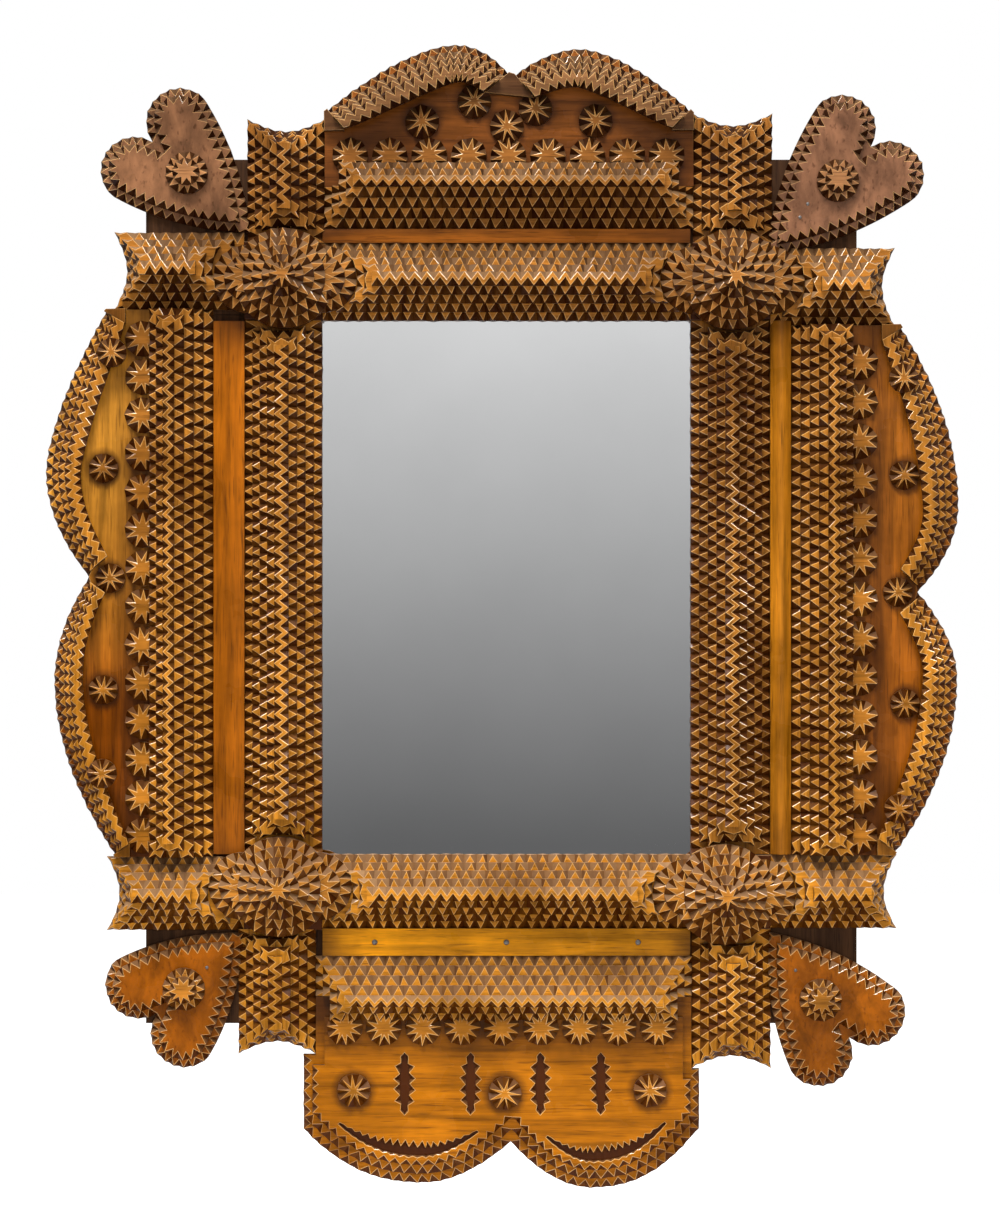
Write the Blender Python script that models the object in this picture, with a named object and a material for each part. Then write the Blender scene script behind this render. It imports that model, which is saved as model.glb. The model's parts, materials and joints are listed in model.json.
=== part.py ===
"""A chip-carved wall mirror, built up from stepped layers of thin wood.

The mirror hangs on a wall at y = 0 and faces -Y, with +Z up and +X to the right of someone looking at it.
Depth is counted forwards from the wall, so a depth of 14 mm is y = -0.014. All sizes are in metres.
"""

import math

import bmesh
import bpy
from mathutils import Vector

# Glass and the sight opening that the inner mouldings leave
SIGHT_WIDTH = 0.196
SIGHT_HEIGHT = 0.284
GLASS_LIP = 0.0035
GLASS_CLEARANCE = 0.0005
GLASS_THICKNESS = 0.003

# Boards behind the carving
BACK_THICKNESS = 0.005
BACK_MARGIN = 0.014
BOARD_THICKNESS = 0.009
BOARD_EDGE = 0.003
SEAT_GAP = 0.0003

# Bands of wood round the glass, each with its own hand-cut width
INNER_WIDTH_LEFT = 0.041
INNER_WIDTH_RIGHT = 0.042
INNER_WIDTH_TOP = 0.041
INNER_WIDTH_BOTTOM = 0.039
FILLET_WIDTH_LEFT = 0.017
FILLET_WIDTH_RIGHT = 0.0116
FILLET_WIDTH_TOP = 0.008
FILLET_WIDTH_BOTTOM = 0.015
OUTER_WIDTH_LEFT = 0.033
OUTER_WIDTH_RIGHT = 0.032
OUTER_WIDTH_TOP = 0.034
OUTER_WIDTH_BOTTOM = 0.033

# Carved layers
LAYER = 0.004
LAYER_COUNT = 5
INNER_RIBBON = 0.0075
OUTER_RIBBON = 0.006
OUTER_BACK_STEP = 0.004
LAYERS_BESIDE_PANEL = 2
HIP_STEP = 0.004
PANEL_LAP = 0.012

# Fillets
FILLET_THICKNESS = 0.003
FILLET_CROWN = 0.0004
RIGHT_FILLET_CROWN = 0.003
FILLET_SEGMENTS = 6

# Corner bosses
BOSS_RADII = (0.0265, 0.0265, 0.0218, 0.0164, 0.0112, 0.0069)
BOSS_CLEARANCE = 0.0005
LUNETTE_REACHES = (0.038, 0.032)
LUNETTE_HALF_HEIGHT = 0.014
PLUG_LAYERS = 2
BOSS_SIDES = 20

# Arms that carry the inner mouldings past the corner bosses
FISHTAIL_DEPTH = 0.0065
FISHTAIL_SEGMENTS = 4
ARM_END_STEP = 0.0022
ARM_LENGTH_TOP_LEFT_UP = 0.066
ARM_LENGTH_TOP_RIGHT_UP = 0.069
ARM_LENGTH_BOTTOM_LEFT_DOWN = 0.0668
ARM_LENGTH_BOTTOM_RIGHT_DOWN = 0.0745
ARM_LENGTH_TOP_LEFT_OUT = 0.0693
ARM_LENGTH_TOP_RIGHT_OUT = 0.0664
ARM_LENGTH_BOTTOM_LEFT_OUT = 0.0733
ARM_LENGTH_BOTTOM_RIGHT_OUT = 0.0672

# Hearts in the four corners
HEART_LENGTH_TOP_LEFT = 0.082
HEART_LENGTH_TOP_RIGHT = 0.088
HEART_LENGTH_BOTTOM_LEFT = 0.074
HEART_LENGTH_BOTTOM_RIGHT = 0.076
HEART_ANGLE_TOP_LEFT = 42
HEART_ANGLE_TOP_RIGHT = 46
HEART_ANGLE_BOTTOM_LEFT = 42
HEART_ANGLE_BOTTOM_RIGHT = 48
HEART_LOBE_RADIUS = 0.0173
HEART_LOBE_OVERLAP = 0.0003
HEART_SHOULDER = 0.027
HEART_SHOULDER_SHARE = 0.36
HEART_LAYERS = 2
HEART_INSET = 0.0045
HEART_SETBACK = 0.0035
HEART_ROSETTE_RADIUS = 0.0105
HEART_ROSETTE_STEP = 0.004
HEART_ROSETTE_OUT = 0.048
HEART_ROSETTE_TIERS = 2
HEART_ROSETTE_SIDES = 14

# Scalloped panels and the rosettes and rims on them
PANEL_REACH = 0.060
ROW_ROSETTE_RADIUS = 0.0095
ROW_ROSETTE_OUT = 0.004
FIELD_ROSETTE_RADIUS = 0.0075
TOP_ROSETTE_RADIUS = 0.009
PLAQUE_ROSETTE_RADIUS = 0.0088
ROSETTE_THICKNESS = 0.0034
ROSETTE_SINK = 0.001
SIDE_RIM_LAYERS = 2
TOP_RIM_LAYERS = 3
RIM_STEP = 0.0052
RIBBON_WIDTH = 0.008
RIM_END_TRIM = 0.008
RIM_END_SHARE = 0.25
RIM_SWELL_POWER = 0.75
PLAQUE_SIDE_INSET = 0.005
PLAQUE_LOBE_STEP = 0.0045
PLAQUE_CLEARANCE = 0.0012
SHOULDER_LEFT = 0.0099
SHOULDER_RIGHT = 0.0046

# Nails and hanger
NAIL_RADIUS = 0.0007
NAIL_LENGTH = 0.0105
NAIL_HEAD_RADIUS = 0.0015
NAIL_HEAD_THICKNESS = 0.0008
FILLET_NAIL_FROM_END = 0.028
BACK_NAIL_INSET = 0.006
RING_RADIUS = 0.009
RING_WIRE_RADIUS = 0.001
STAPLE_WIRE_RADIUS = 0.0008
STAPLE_CLEARANCE = 0.0004
STAPLE_LEG_DEPTH = 0.006
RING_SEGMENTS = 20
STAPLE_SEGMENTS = 6
HANGER_FROM_TOP = 0.024

ROUND_SIDES = 8
LOBE_SEGMENTS = 5
HEART_SEGMENTS = 7

# How far cutters stand out of what they cut, and lengths too small to see
CUTTER_OVERSHOOT = 0.002
MERGE_DISTANCE = 1e-6
SLOPE_STEP = 1e-4
PARALLEL = 1e-4

AMBER = (0.36, 0.16, 0.04)
RED_BROWN = (0.24, 0.095, 0.03)
HONEY = (0.44, 0.21, 0.05)
DARK_WOOD = (0.09, 0.045, 0.02)
CARD = (0.38, 0.30, 0.19)
SILVER = (0.80, 0.81, 0.82)
IRON = (0.10, 0.09, 0.08)

# Depths counted forwards from the wall
BOARD_BACK = BACK_THICKNESS + SEAT_GAP
BOARD_FRONT = BOARD_BACK + BOARD_THICKNESS
CARVING_BASE = BOARD_FRONT + SEAT_GAP
PANEL_TOP = CARVING_BASE + LAYER
ON_PANEL = PANEL_TOP + SEAT_GAP


class Side:
    """One side of the frame, with its bands counted outwards from the middle of the glass."""

    def __init__(self, name, along, out, sight, half_length, inner, fillet, outer):
        self.name = name
        self.along = Vector(along)
        self.out = Vector(out)
        self.sight = sight
        self.half_length = half_length
        self.inner = inner
        self.inner_edge = sight + inner
        self.fillet_edge = self.inner_edge + fillet
        self.edge = self.fillet_edge + outer

    def place(self, u, v, depth):
        """The world point u along the side, v outwards from the glass's middle, at a depth."""
        return self.along * u + self.out * v + Vector((0.0, -depth, 0.0))


HALF_WIDTH = SIGHT_WIDTH / 2
HALF_HEIGHT = SIGHT_HEIGHT / 2
LEFT = Side("left", (0, 0, 1), (-1, 0, 0), HALF_WIDTH, HALF_HEIGHT,
            INNER_WIDTH_LEFT, FILLET_WIDTH_LEFT, OUTER_WIDTH_LEFT)
RIGHT = Side("right", (0, 0, 1), (1, 0, 0), HALF_WIDTH, HALF_HEIGHT,
             INNER_WIDTH_RIGHT, FILLET_WIDTH_RIGHT, OUTER_WIDTH_RIGHT)
TOP = Side("top", (1, 0, 0), (0, 0, 1), HALF_HEIGHT, HALF_WIDTH,
           INNER_WIDTH_TOP, FILLET_WIDTH_TOP, OUTER_WIDTH_TOP)
BOTTOM = Side("bottom", (1, 0, 0), (0, 0, -1), HALF_HEIGHT, HALF_WIDTH,
              INNER_WIDTH_BOTTOM, FILLET_WIDTH_BOTTOM, OUTER_WIDTH_BOTTOM)
SIDES = (LEFT, RIGHT, TOP, BOTTOM)


class Lobe:
    """One swelling of a scalloped edge: a crest that falls to a foot on either side along power curves."""

    def __init__(self, crest, first_foot, last_foot, first_power, last_power):
        self.crest = crest
        self.first_foot = first_foot
        self.last_foot = last_foot
        self.first_power = first_power
        self.last_power = last_power

    def height(self, u):
        """How far the edge stands out at u along the side."""
        before = (u - self.crest[0]) * (self.first_foot[0] - self.crest[0]) > 0
        foot = self.first_foot if before else self.last_foot
        power = self.first_power if before else self.last_power
        share = abs((u - self.crest[0]) / (foot[0] - self.crest[0]))
        return self.crest[1] - (self.crest[1] - foot[1]) * share ** power

    def samples(self):
        """Places along the side from the first foot to the last, closer together near the feet."""
        turns = [math.pi / 2 * step / LOBE_SEGMENTS for step in range(LOBE_SEGMENTS + 1)]
        crest = self.crest[0]
        rising = [crest + (self.first_foot[0] - crest) * math.cos(turn) for turn in turns]
        falling = [crest + (self.last_foot[0] - crest) * math.sin(turn) for turn in turns[1:]]
        return rising + falling


def on_panel(side, shares):
    """A point of a scalloped panel, from shares of the side's half length and of the panels' reach."""
    return shares[0] * side.half_length, side.edge + shares[1] * PANEL_REACH


def lobes_of(side, crests, notch, feet, powers):
    """The two lobes of a scalloped panel, from the side's high end of u to its low end."""
    end = side.half_length - SEAT_GAP
    high_foot = (end, side.edge + feet[0] * PANEL_REACH)
    low_foot = (-end, side.edge + feet[1] * PANEL_REACH)
    middle = on_panel(side, notch)
    high = Lobe(on_panel(side, crests[0]), high_foot, middle, powers[0], powers[1])
    low = Lobe(on_panel(side, crests[1]), middle, low_foot, powers[2], powers[3])
    return high, low


# Each scalloped edge: crests and notch as shares of the side's half length and of the panels' reach,
# feet as shares of the reach, and how full the curves are
LOBES = {
    "left": lobes_of(LEFT, ((0.4387, 0.9317), (-0.3521, 0.8567)), (0.0394, 0.5467), (0.3883, 0.3083),
                     (1.5, 2.0, 2.0, 1.9)),
    "right": lobes_of(RIGHT, ((0.3077, 0.9467), (-0.3303, 0.9367)), (-0.0169, 0.5833), (0.4250, 0.3717),
                      (2.0, 2.0, 1.8, 2.1)),
    "top": lobes_of(TOP, ((0.3980, 1.0250), (-0.2949, 1.0600)), (0.0296, 0.7683), (0.4500, 0.4583),
                    (1.65, 1.9, 2.3, 1.55)),
    "bottom": lobes_of(BOTTOM, ((0.4520, 1.5050), (-0.4408, 1.4617)), (0.0245, 1.0983), (0.8967, 0.9483),
                       (2.4, 1.9, 1.8, 2.4)),
}

# Rosettes in each row: how many, and how many of their radii the first and last stand from the ends
ROSETTE_ROWS = {
    "left": (14, 1.0526, 1.0737),
    "right": (13, 2.3684, 1.0737),
    "top": (9, 1.3579, 1.5895),
    "bottom": (9, 1.8632, 1.3053),
}

# Loose rosettes on each panel, as shares of the half length and of the panels' reach
FIELD_ROSETTES = {
    "left": ((0.8732, 0.2583), (0.4458, 0.4150), (0.0352, 0.3533), (-0.3824, 0.4150), (-0.6923, 0.2933)),
    "right": ((0.7782, 0.3500), (0.4197, 0.4600), (-0.0169, 0.4033), (-0.4345, 0.4683), (-0.8232, 0.3083)),
    "top": ((-0.4571, 0.3700), (-0.1735, 0.5467), (0.0031, 0.3267), (0.1582, 0.4850), (0.4837, 0.3783)),
    "bottom": ((-0.8245, 0.6217), (-0.0082, 0.6483), (0.7765, 0.6217)),
}

FIELD_RADIUS = {
    "left": FIELD_ROSETTE_RADIUS,
    "right": FIELD_ROSETTE_RADIUS,
    "top": TOP_ROSETTE_RADIUS,
    "bottom": PLAQUE_ROSETTE_RADIUS,
}


class Corner:
    """The square where two sides meet, with the boss in its middle."""

    def __init__(self, name, upright, level, up_length, out_length, heart_length, heart_angle):
        self.name = name
        self.upright = upright
        self.level = level
        self.up_length = up_length
        self.out_length = out_length
        self.heart_length = heart_length
        self.heart_angle = math.radians(heart_angle)
        self.half_across = upright.inner / 2
        self.half_up = level.inner / 2
        self.across = upright.out
        self.up = level.out
        centre_across = upright.sight + self.half_across
        centre_up = level.sight + self.half_up
        self.centre = self.across * centre_across + self.up * centre_up

    def place(self, a, b, depth):
        """The world point a along the level side and b along the upright, out from the boss's middle."""
        return self.centre + self.across * a + self.up * b + Vector((0.0, -depth, 0.0))


CORNERS = (
    Corner("top_left", LEFT, TOP, ARM_LENGTH_TOP_LEFT_UP, ARM_LENGTH_TOP_LEFT_OUT,
           HEART_LENGTH_TOP_LEFT, HEART_ANGLE_TOP_LEFT),
    Corner("top_right", RIGHT, TOP, ARM_LENGTH_TOP_RIGHT_UP, ARM_LENGTH_TOP_RIGHT_OUT,
           HEART_LENGTH_TOP_RIGHT, HEART_ANGLE_TOP_RIGHT),
    Corner("bottom_left", LEFT, BOTTOM, ARM_LENGTH_BOTTOM_LEFT_DOWN, ARM_LENGTH_BOTTOM_LEFT_OUT,
           HEART_LENGTH_BOTTOM_LEFT, HEART_ANGLE_BOTTOM_LEFT),
    Corner("bottom_right", RIGHT, BOTTOM, ARM_LENGTH_BOTTOM_RIGHT_DOWN, ARM_LENGTH_BOTTOM_RIGHT_OUT,
           HEART_LENGTH_BOTTOM_RIGHT, HEART_ANGLE_BOTTOM_RIGHT),
)


def clear_scene():
    for item in list(bpy.data.objects):
        bpy.data.objects.remove(item, do_unlink=True)


def finish(item, colour, roughness=0.4, metallic=0.0):
    """Gives a piece its own material."""
    material = bpy.data.materials.new(item.name)
    material.use_nodes = True
    shader = material.node_tree.nodes["Principled BSDF"]
    shader.inputs["Base Color"].default_value = (*colour, 1.0)
    shader.inputs["Roughness"].default_value = roughness
    shader.inputs["Metallic"].default_value = metallic
    item.data.materials.append(material)
    return item


def add_loops(mesh, loops, place):
    """Adds one closed body to a bmesh: rings of equal length joined by walls, with a cap at either end."""
    rings = [[mesh.verts.new(place(a, b, depth)) for a, b in outline] for outline, depth in loops]
    faces = [mesh.faces.new(rings[0]), mesh.faces.new(rings[-1])]
    for lower, upper in zip(rings, rings[1:]):
        count = len(lower)
        for index in range(count):
            after = (index + 1) % count
            faces.append(mesh.faces.new((lower[index], lower[after], upper[after], upper[index])))
    verts = [vert for ring in rings for vert in ring]
    bmesh.ops.remove_doubles(mesh, verts=verts, dist=MERGE_DISTANCE)
    bmesh.ops.recalc_face_normals(mesh, faces=[face for face in faces if face.is_valid])


def mesh_object(name, mesh):
    """Turns a bmesh into an object in the scene."""
    data = bpy.data.meshes.new(name)
    mesh.to_mesh(data)
    mesh.free()
    item = bpy.data.objects.new(name, data)
    bpy.context.scene.collection.objects.link(item)
    return item


def body(name, loops, place):
    """A closed body made from rings of points."""
    mesh = bmesh.new()
    add_loops(mesh, loops, place)
    return mesh_object(name, mesh)


def bodies(name, all_loops, place):
    """Several closed bodies in one mesh, for cutters and for pieces that a union joins."""
    mesh = bmesh.new()
    for loops in all_loops:
        add_loops(mesh, loops, place)
    return mesh_object(name, mesh)


def hide_tool(item):
    """Marks an object as a shaping tool that isn't a piece of the mirror."""
    item.hide_render = True
    item.display_type = "WIRE"
    return item


def shape_with(item, tool, operation):
    """Cuts a tool from a piece, or joins it to the piece."""
    modifier = item.modifiers.new(tool.name, "BOOLEAN")
    modifier.operation = operation
    modifier.solver = "EXACT"
    modifier.use_self = operation == "UNION"
    modifier.object = tool


def layers(outlines, base, thickness):
    """Rings for a stack of layers, one outline a layer, all of one thickness."""
    loops = []
    for index, outline in enumerate(outlines):
        loops.append((outline, base + index * thickness))
        loops.append((outline, base + (index + 1) * thickness))
    return loops


def rectangle(low_a, high_a, low_b, high_b):
    return [(low_a, low_b), (high_a, low_b), (high_a, high_b), (low_a, high_b)]


def circle(centre, radius, sides=ROUND_SIDES):
    turns = [2 * math.pi * (index + 0.5) / sides for index in range(sides)]
    return [(centre[0] + radius * math.cos(turn), centre[1] + radius * math.sin(turn)) for turn in turns]


def inset(outline, distances):
    """Moves each edge of an outline inwards by its own distance; edge i runs from point i to the next."""
    count = len(outline)
    points = [Vector(point) for point in outline]
    area = sum(points[i].x * points[(i + 1) % count].y - points[(i + 1) % count].x * points[i].y
               for i in range(count))
    turn = 1.0 if area > 0 else -1.0
    normals = []
    for index in range(count):
        edge = (points[(index + 1) % count] - points[index]).normalized()
        normals.append(Vector((-edge.y, edge.x)) * turn)
    moved = []
    for index in range(count):
        first, second = normals[index - 1], normals[index]
        first_distance, second_distance = distances[index - 1], distances[index]
        cross = first.x * second.y - first.y * second.x
        if abs(cross) < PARALLEL:
            shift = (first * first_distance + second * second_distance) / 2
        else:
            shift = Vector((first_distance * second.y - second_distance * first.y,
                            second_distance * first.x - first_distance * second.x)) / cross
        moved.append(tuple(points[index] + shift))
    return moved


def boss_ends(half, is_level):
    """How far each layer of a moulding stops short of the boss's middle, beside the boss."""
    boss = BOSS_RADII[0] + BOSS_CLEARANCE
    lowest = half + SEAT_GAP
    ends = [lowest, boss]
    beyond = LUNETTE_REACHES[0] + BOSS_CLEARANCE if is_level else boss
    while len(ends) < LAYER_COUNT:
        ends.append(beyond)
        beyond += HIP_STEP
    return ends


def inner_step(width):
    """How far each layer of an inner moulding or arm steps in, so that the top layer is one ribbon wide."""
    return (width - INNER_RIBBON) / 2 / (LAYER_COUNT - 1)


def make_boards():
    """Four half-lapped boards: the rails' ends lie in front of the stiles' ends."""
    middle = (BOARD_BACK + BOARD_FRONT) / 2
    made = {}
    for side in SIDES:
        level = side in (TOP, BOTTOM)
        low_side, high_side = (LEFT, RIGHT) if level else (BOTTOM, TOP)
        low, high = -low_side.edge - BOARD_EDGE, high_side.edge + BOARD_EDGE
        low_shoulder = -low_side.sight - GLASS_LIP + SEAT_GAP
        high_shoulder = high_side.sight + GLASS_LIP - SEAT_GAP
        if level:
            tab_back, tab_front = middle + SEAT_GAP / 2, BOARD_FRONT
            profile = [(low, tab_back), (low_shoulder, tab_back), (low_shoulder, BOARD_BACK),
                       (high_shoulder, BOARD_BACK), (high_shoulder, tab_back), (high, tab_back),
                       (high, tab_front), (low, tab_front)]
        else:
            tab_back, tab_front = BOARD_BACK, middle - SEAT_GAP / 2
            profile = [(low, tab_back), (high, tab_back), (high, tab_front), (high_shoulder, tab_front),
                       (high_shoulder, BOARD_FRONT), (low_shoulder, BOARD_FRONT), (low_shoulder, tab_front),
                       (low, tab_front)]
        name = ("back_rail_" if level else "back_stile_") + side.name
        ends = ((profile, side.sight + GLASS_LIP), (profile, side.edge + BOARD_EDGE))
        board = body(name, ends, lambda u, depth, v, side=side: side.place(u, v, depth))
        made[side.name] = finish(board, DARK_WOOD, roughness=0.7)
    return made


def make_glass_and_back():
    """The glass, the packing behind it and the panel that closes the back."""
    half_x = HALF_WIDTH + GLASS_LIP - GLASS_CLEARANCE
    half_z = HALF_HEIGHT + GLASS_LIP - GLASS_CLEARANCE
    pane = rectangle(-half_x, half_x, -half_z, half_z)
    glass_back = BOARD_FRONT - GLASS_THICKNESS
    glass = body("mirror_glass", ((pane, glass_back), (pane, BOARD_FRONT)), TOP.place)
    finish(glass, SILVER, roughness=0.02, metallic=1.0)
    packing = body("glass_packing", ((pane, BOARD_BACK), (pane, glass_back - SEAT_GAP)), TOP.place)
    finish(packing, CARD, roughness=0.9)
    cover = rectangle(-HALF_WIDTH - BACK_MARGIN, HALF_WIDTH + BACK_MARGIN,
                      -HALF_HEIGHT - BACK_MARGIN, HALF_HEIGHT + BACK_MARGIN)
    back = body("back_panel", ((cover, 0.0), (cover, BACK_THICKNESS)), TOP.place)
    return finish(back, DARK_WOOD, roughness=0.8)


def make_inner_moulding(side):
    """Five layers that step in from both edges and hip back from the bosses."""
    upright = side in (LEFT, RIGHT)
    high_side, low_side = (TOP, BOTTOM) if upright else (RIGHT, LEFT)
    high_ends = boss_ends(high_side.inner / 2, not upright)
    low_ends = boss_ends(low_side.inner / 2, not upright)
    step = inner_step(side.inner)
    outlines = []
    for layer in range(LAYER_COUNT):
        high = side.half_length + high_side.inner / 2 - high_ends[layer]
        low = -side.half_length - low_side.inner / 2 + low_ends[layer]
        near = side.sight + layer * step
        far = side.inner_edge - layer * step
        outlines.append(rectangle(low, high, near, far))
    piece = body("inner_moulding_" + side.name, layers(outlines, CARVING_BASE, LAYER), side.place)
    finish(piece, AMBER)


def make_fillet(side):
    """A plain strip between the two mouldings, crowned across its width."""
    near, far = side.inner_edge + SEAT_GAP, side.fillet_edge - SEAT_GAP
    crown = RIGHT_FILLET_CROWN if side is RIGHT else FILLET_CROWN
    profile = [(near, CARVING_BASE), (far, CARVING_BASE)]
    for step in range(FILLET_SEGMENTS + 1):
        share = step / FILLET_SEGMENTS
        depth = CARVING_BASE + FILLET_THICKNESS + crown * math.sin(math.pi * share)
        profile.append((far + (near - far) * share, depth))
    half = side.half_length - SEAT_GAP
    piece = body("fillet_" + side.name, ((profile, -half), (profile, half)),
                 lambda v, depth, u: side.place(u, v, depth))
    return finish(piece, HONEY)


def make_outer_moulding(side):
    """Five layers whose upper three lap over the panel and its row of rosettes."""
    half = side.half_length - SEAT_GAP
    beside_panel = side.edge - PANEL_LAP - SEAT_GAP
    back_rows = LAYER_COUNT - 1 - LAYERS_BESIDE_PANEL
    slope = side.edge - side.fillet_edge - OUTER_RIBBON - back_rows * OUTER_BACK_STEP
    step = slope / (LAYER_COUNT - 1)
    outlines = []
    for layer in range(LAYER_COUNT):
        near = side.fillet_edge + layer * step
        over_panel = side.edge - (layer - LAYERS_BESIDE_PANEL) * OUTER_BACK_STEP
        far = beside_panel if layer < LAYERS_BESIDE_PANEL else over_panel
        end = half - layer * HIP_STEP
        outlines.append(rectangle(-end, end, near, far))
    piece = body("outer_moulding_" + side.name, layers(outlines, CARVING_BASE, LAYER), side.place)
    finish(piece, AMBER)


def scallop(side):
    """The scalloped edge as points from the high end of the side to its low end."""
    high, low = LOBES[side.name]
    points = [(u, high.height(u)) for u in high.samples()]
    points += [(u, low.height(u)) for u in low.samples()[1:]]
    return points


def panel_outline(side):
    """The whole outline of a scalloped panel, tucked under the outer moulding."""
    edge = scallop(side)
    half = side.half_length - SEAT_GAP
    tuck = side.edge - PANEL_LAP
    return edge + [(-half, tuck), (half, tuck)]


def plaque_board_outline():
    """The bottom panel's outline, whose shoulders widen below the two arms beside it."""
    left_end = BOTTOM.inner_edge + ARM_LENGTH_BOTTOM_LEFT_DOWN + SEAT_GAP
    right_end = BOTTOM.inner_edge + ARM_LENGTH_BOTTOM_RIGHT_DOWN + SEAT_GAP
    half = BOTTOM.half_length - SEAT_GAP
    tuck = BOTTOM.edge - PANEL_LAP
    edge = scallop(BOTTOM)
    first = (half + SHOULDER_RIGHT, edge[0][1] - SHOULDER_RIGHT)
    last = (-half - SHOULDER_LEFT, edge[-1][1] - SHOULDER_LEFT)
    lobes = edge[1:-1]
    return ([first] + lobes + [last, (-half - SHOULDER_LEFT, left_end), (-half, left_end),
                               (-half, tuck), (half, tuck), (half, right_end),
                               (half + SHOULDER_RIGHT, right_end)], len(lobes) + 1)


def disc_loops(centre, radius, base):
    """Rings for one rosette, sunk a little into what carries it."""
    outline = circle(centre, radius)
    return (outline, base - ROSETTE_SINK), (outline, base + ROSETTE_THICKNESS)


def row_rosette_loops(side, base):
    """Rings for the row of rosettes along a side's outer moulding."""
    count, high_margin, low_margin = ROSETTE_ROWS[side.name]
    high = side.half_length - high_margin * ROW_ROSETTE_RADIUS
    low = -side.half_length + low_margin * ROW_ROSETTE_RADIUS
    made = []
    for index in range(count):
        along = high + (low - high) * index / (count - 1)
        made.append(disc_loops((along, side.edge + ROW_ROSETTE_OUT), ROW_ROSETTE_RADIUS, base))
    return made


def field_rosette_loops(side, base):
    """Rings for the loose rosettes of a side."""
    radius = FIELD_RADIUS[side.name]
    return [disc_loops(on_panel(side, shares), radius, base) for shares in FIELD_ROSETTES[side.name]]


def make_panel(side):
    """A scalloped board with its rosettes glued on."""
    outline = panel_outline(side)
    board = ((outline, CARVING_BASE), (outline, PANEL_TOP))
    panel = body("scalloped_panel_" + side.name, board, side.place)
    loops = row_rosette_loops(side, PANEL_TOP) + field_rosette_loops(side, PANEL_TOP)
    rosettes = hide_tool(bodies("rosettes_" + side.name, loops, side.place))
    shape_with(panel, rosettes, "UNION")
    finish(panel, HONEY)


def make_bottom_panel():
    """The bottom board in two steps, its row of rosettes, and the plaque in front of it."""
    outline, lobe_edges = plaque_board_outline()
    edges = range(len(outline))
    stepped = inset(outline, [PLAQUE_LOBE_STEP if index < lobe_edges else SEAT_GAP for index in edges])
    middle = (CARVING_BASE + PANEL_TOP) / 2
    loops = ((outline, CARVING_BASE), (outline, middle), (stepped, middle), (stepped, PANEL_TOP))
    panel = body("scalloped_panel_bottom", loops, BOTTOM.place)
    rosettes = hide_tool(bodies("rosettes_bottom", row_rosette_loops(BOTTOM, PANEL_TOP), BOTTOM.place))
    shape_with(panel, rosettes, "UNION")
    finish(panel, HONEY)

    head = BOTTOM.edge + ROW_ROSETTE_OUT + ROW_ROSETTE_RADIUS + PLAQUE_CLEARANCE
    front_step = 2 * PLAQUE_LOBE_STEP
    front = inset(outline, [front_step if index < lobe_edges else PLAQUE_SIDE_INSET for index in edges])
    left_neck, right_neck = front[lobe_edges + 2], front[lobe_edges + 5]
    field = front[:lobe_edges + 3] + [(left_neck[0], head), (right_neck[0], head)] + front[lobe_edges + 5:]
    top = PANEL_TOP + LAYER - SEAT_GAP
    plaque = body("bottom_plaque", ((field, ON_PANEL), (field, top)), BOTTOM.place)
    loose = hide_tool(bodies("rosettes_plaque", field_rosette_loops(BOTTOM, top), BOTTOM.place))
    shape_with(plaque, loose, "UNION")
    finish(plaque, HONEY)


def make_rims(side, rows):
    """A stepped crescent on each lobe of a panel, ending in a ribbon along the field."""
    for lobe, end in zip(LOBES[side.name], ("high", "low")):
        places = lobe.samples()
        start, stop = places[0], places[-1]
        trim = RIM_END_TRIM / abs(stop - start)
        samples = 2 * LOBE_SEGMENTS
        edge = []
        for index in range(samples + 1):
            share = trim + (1 - 2 * trim) * index / samples
            u = start + (stop - start) * share
            ahead, behind = u + SLOPE_STEP, u - SLOPE_STEP
            slope = (lobe.height(ahead) - lobe.height(behind)) / (ahead - behind)
            normal = Vector((slope, -1.0)).normalized()
            bulge = max(0.0, math.sin(math.pi * index / samples)) ** RIM_SWELL_POWER
            swell = RIM_END_SHARE + (1 - RIM_END_SHARE) * bulge
            edge.append((Vector((u, lobe.height(u))), normal, swell))
        total = rows * RIM_STEP + RIBBON_WIDTH
        inner = [tuple(point + normal * total * swell) for point, normal, swell in reversed(edge)]
        outlines = []
        for row in range(1, rows + 1):
            outer = [tuple(point + normal * row * RIM_STEP * swell) for point, normal, swell in edge]
            outlines.append(outer + inner)
        rim = body("scalloped_rim_" + side.name + "_" + end, layers(outlines, ON_PANEL, LAYER), side.place)
        finish(rim, AMBER)


def fishtail(near, far, end, depth):
    """The hollow end of an arm, from one tip to the other."""
    points = []
    for step in range(FISHTAIL_SEGMENTS + 1):
        share = step / FISHTAIL_SEGMENTS
        points.append((near + (far - near) * share, end - depth * math.sin(math.pi * share)))
    return points


def make_arm(corner, is_upright):
    """Five layers that run on from an inner moulding past the boss and end in a fishtail."""
    half_wide = corner.half_across if is_upright else corner.half_up
    half_run = corner.half_up if is_upright else corner.half_across
    length = corner.up_length if is_upright else corner.out_length
    starts = boss_ends(half_run, not is_upright)
    step = inner_step(2 * half_wide)
    outlines = []
    for layer in range(LAYER_COUNT):
        near, far = -half_wide + layer * step, half_wide - layer * step
        tail = fishtail(far, near, half_run + length - layer * ARM_END_STEP, FISHTAIL_DEPTH)
        outlines.append([(near, starts[layer]), (far, starts[layer])] + tail)
    if is_upright:
        place = corner.place
    else:
        def place(b, a, depth):
            return corner.place(a, b, depth)
    name = "arm_" + corner.name + ("_upright" if is_upright else "_level")
    arm = body(name, layers(outlines, CARVING_BASE, LAYER), place)
    finish(arm, AMBER)


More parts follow.
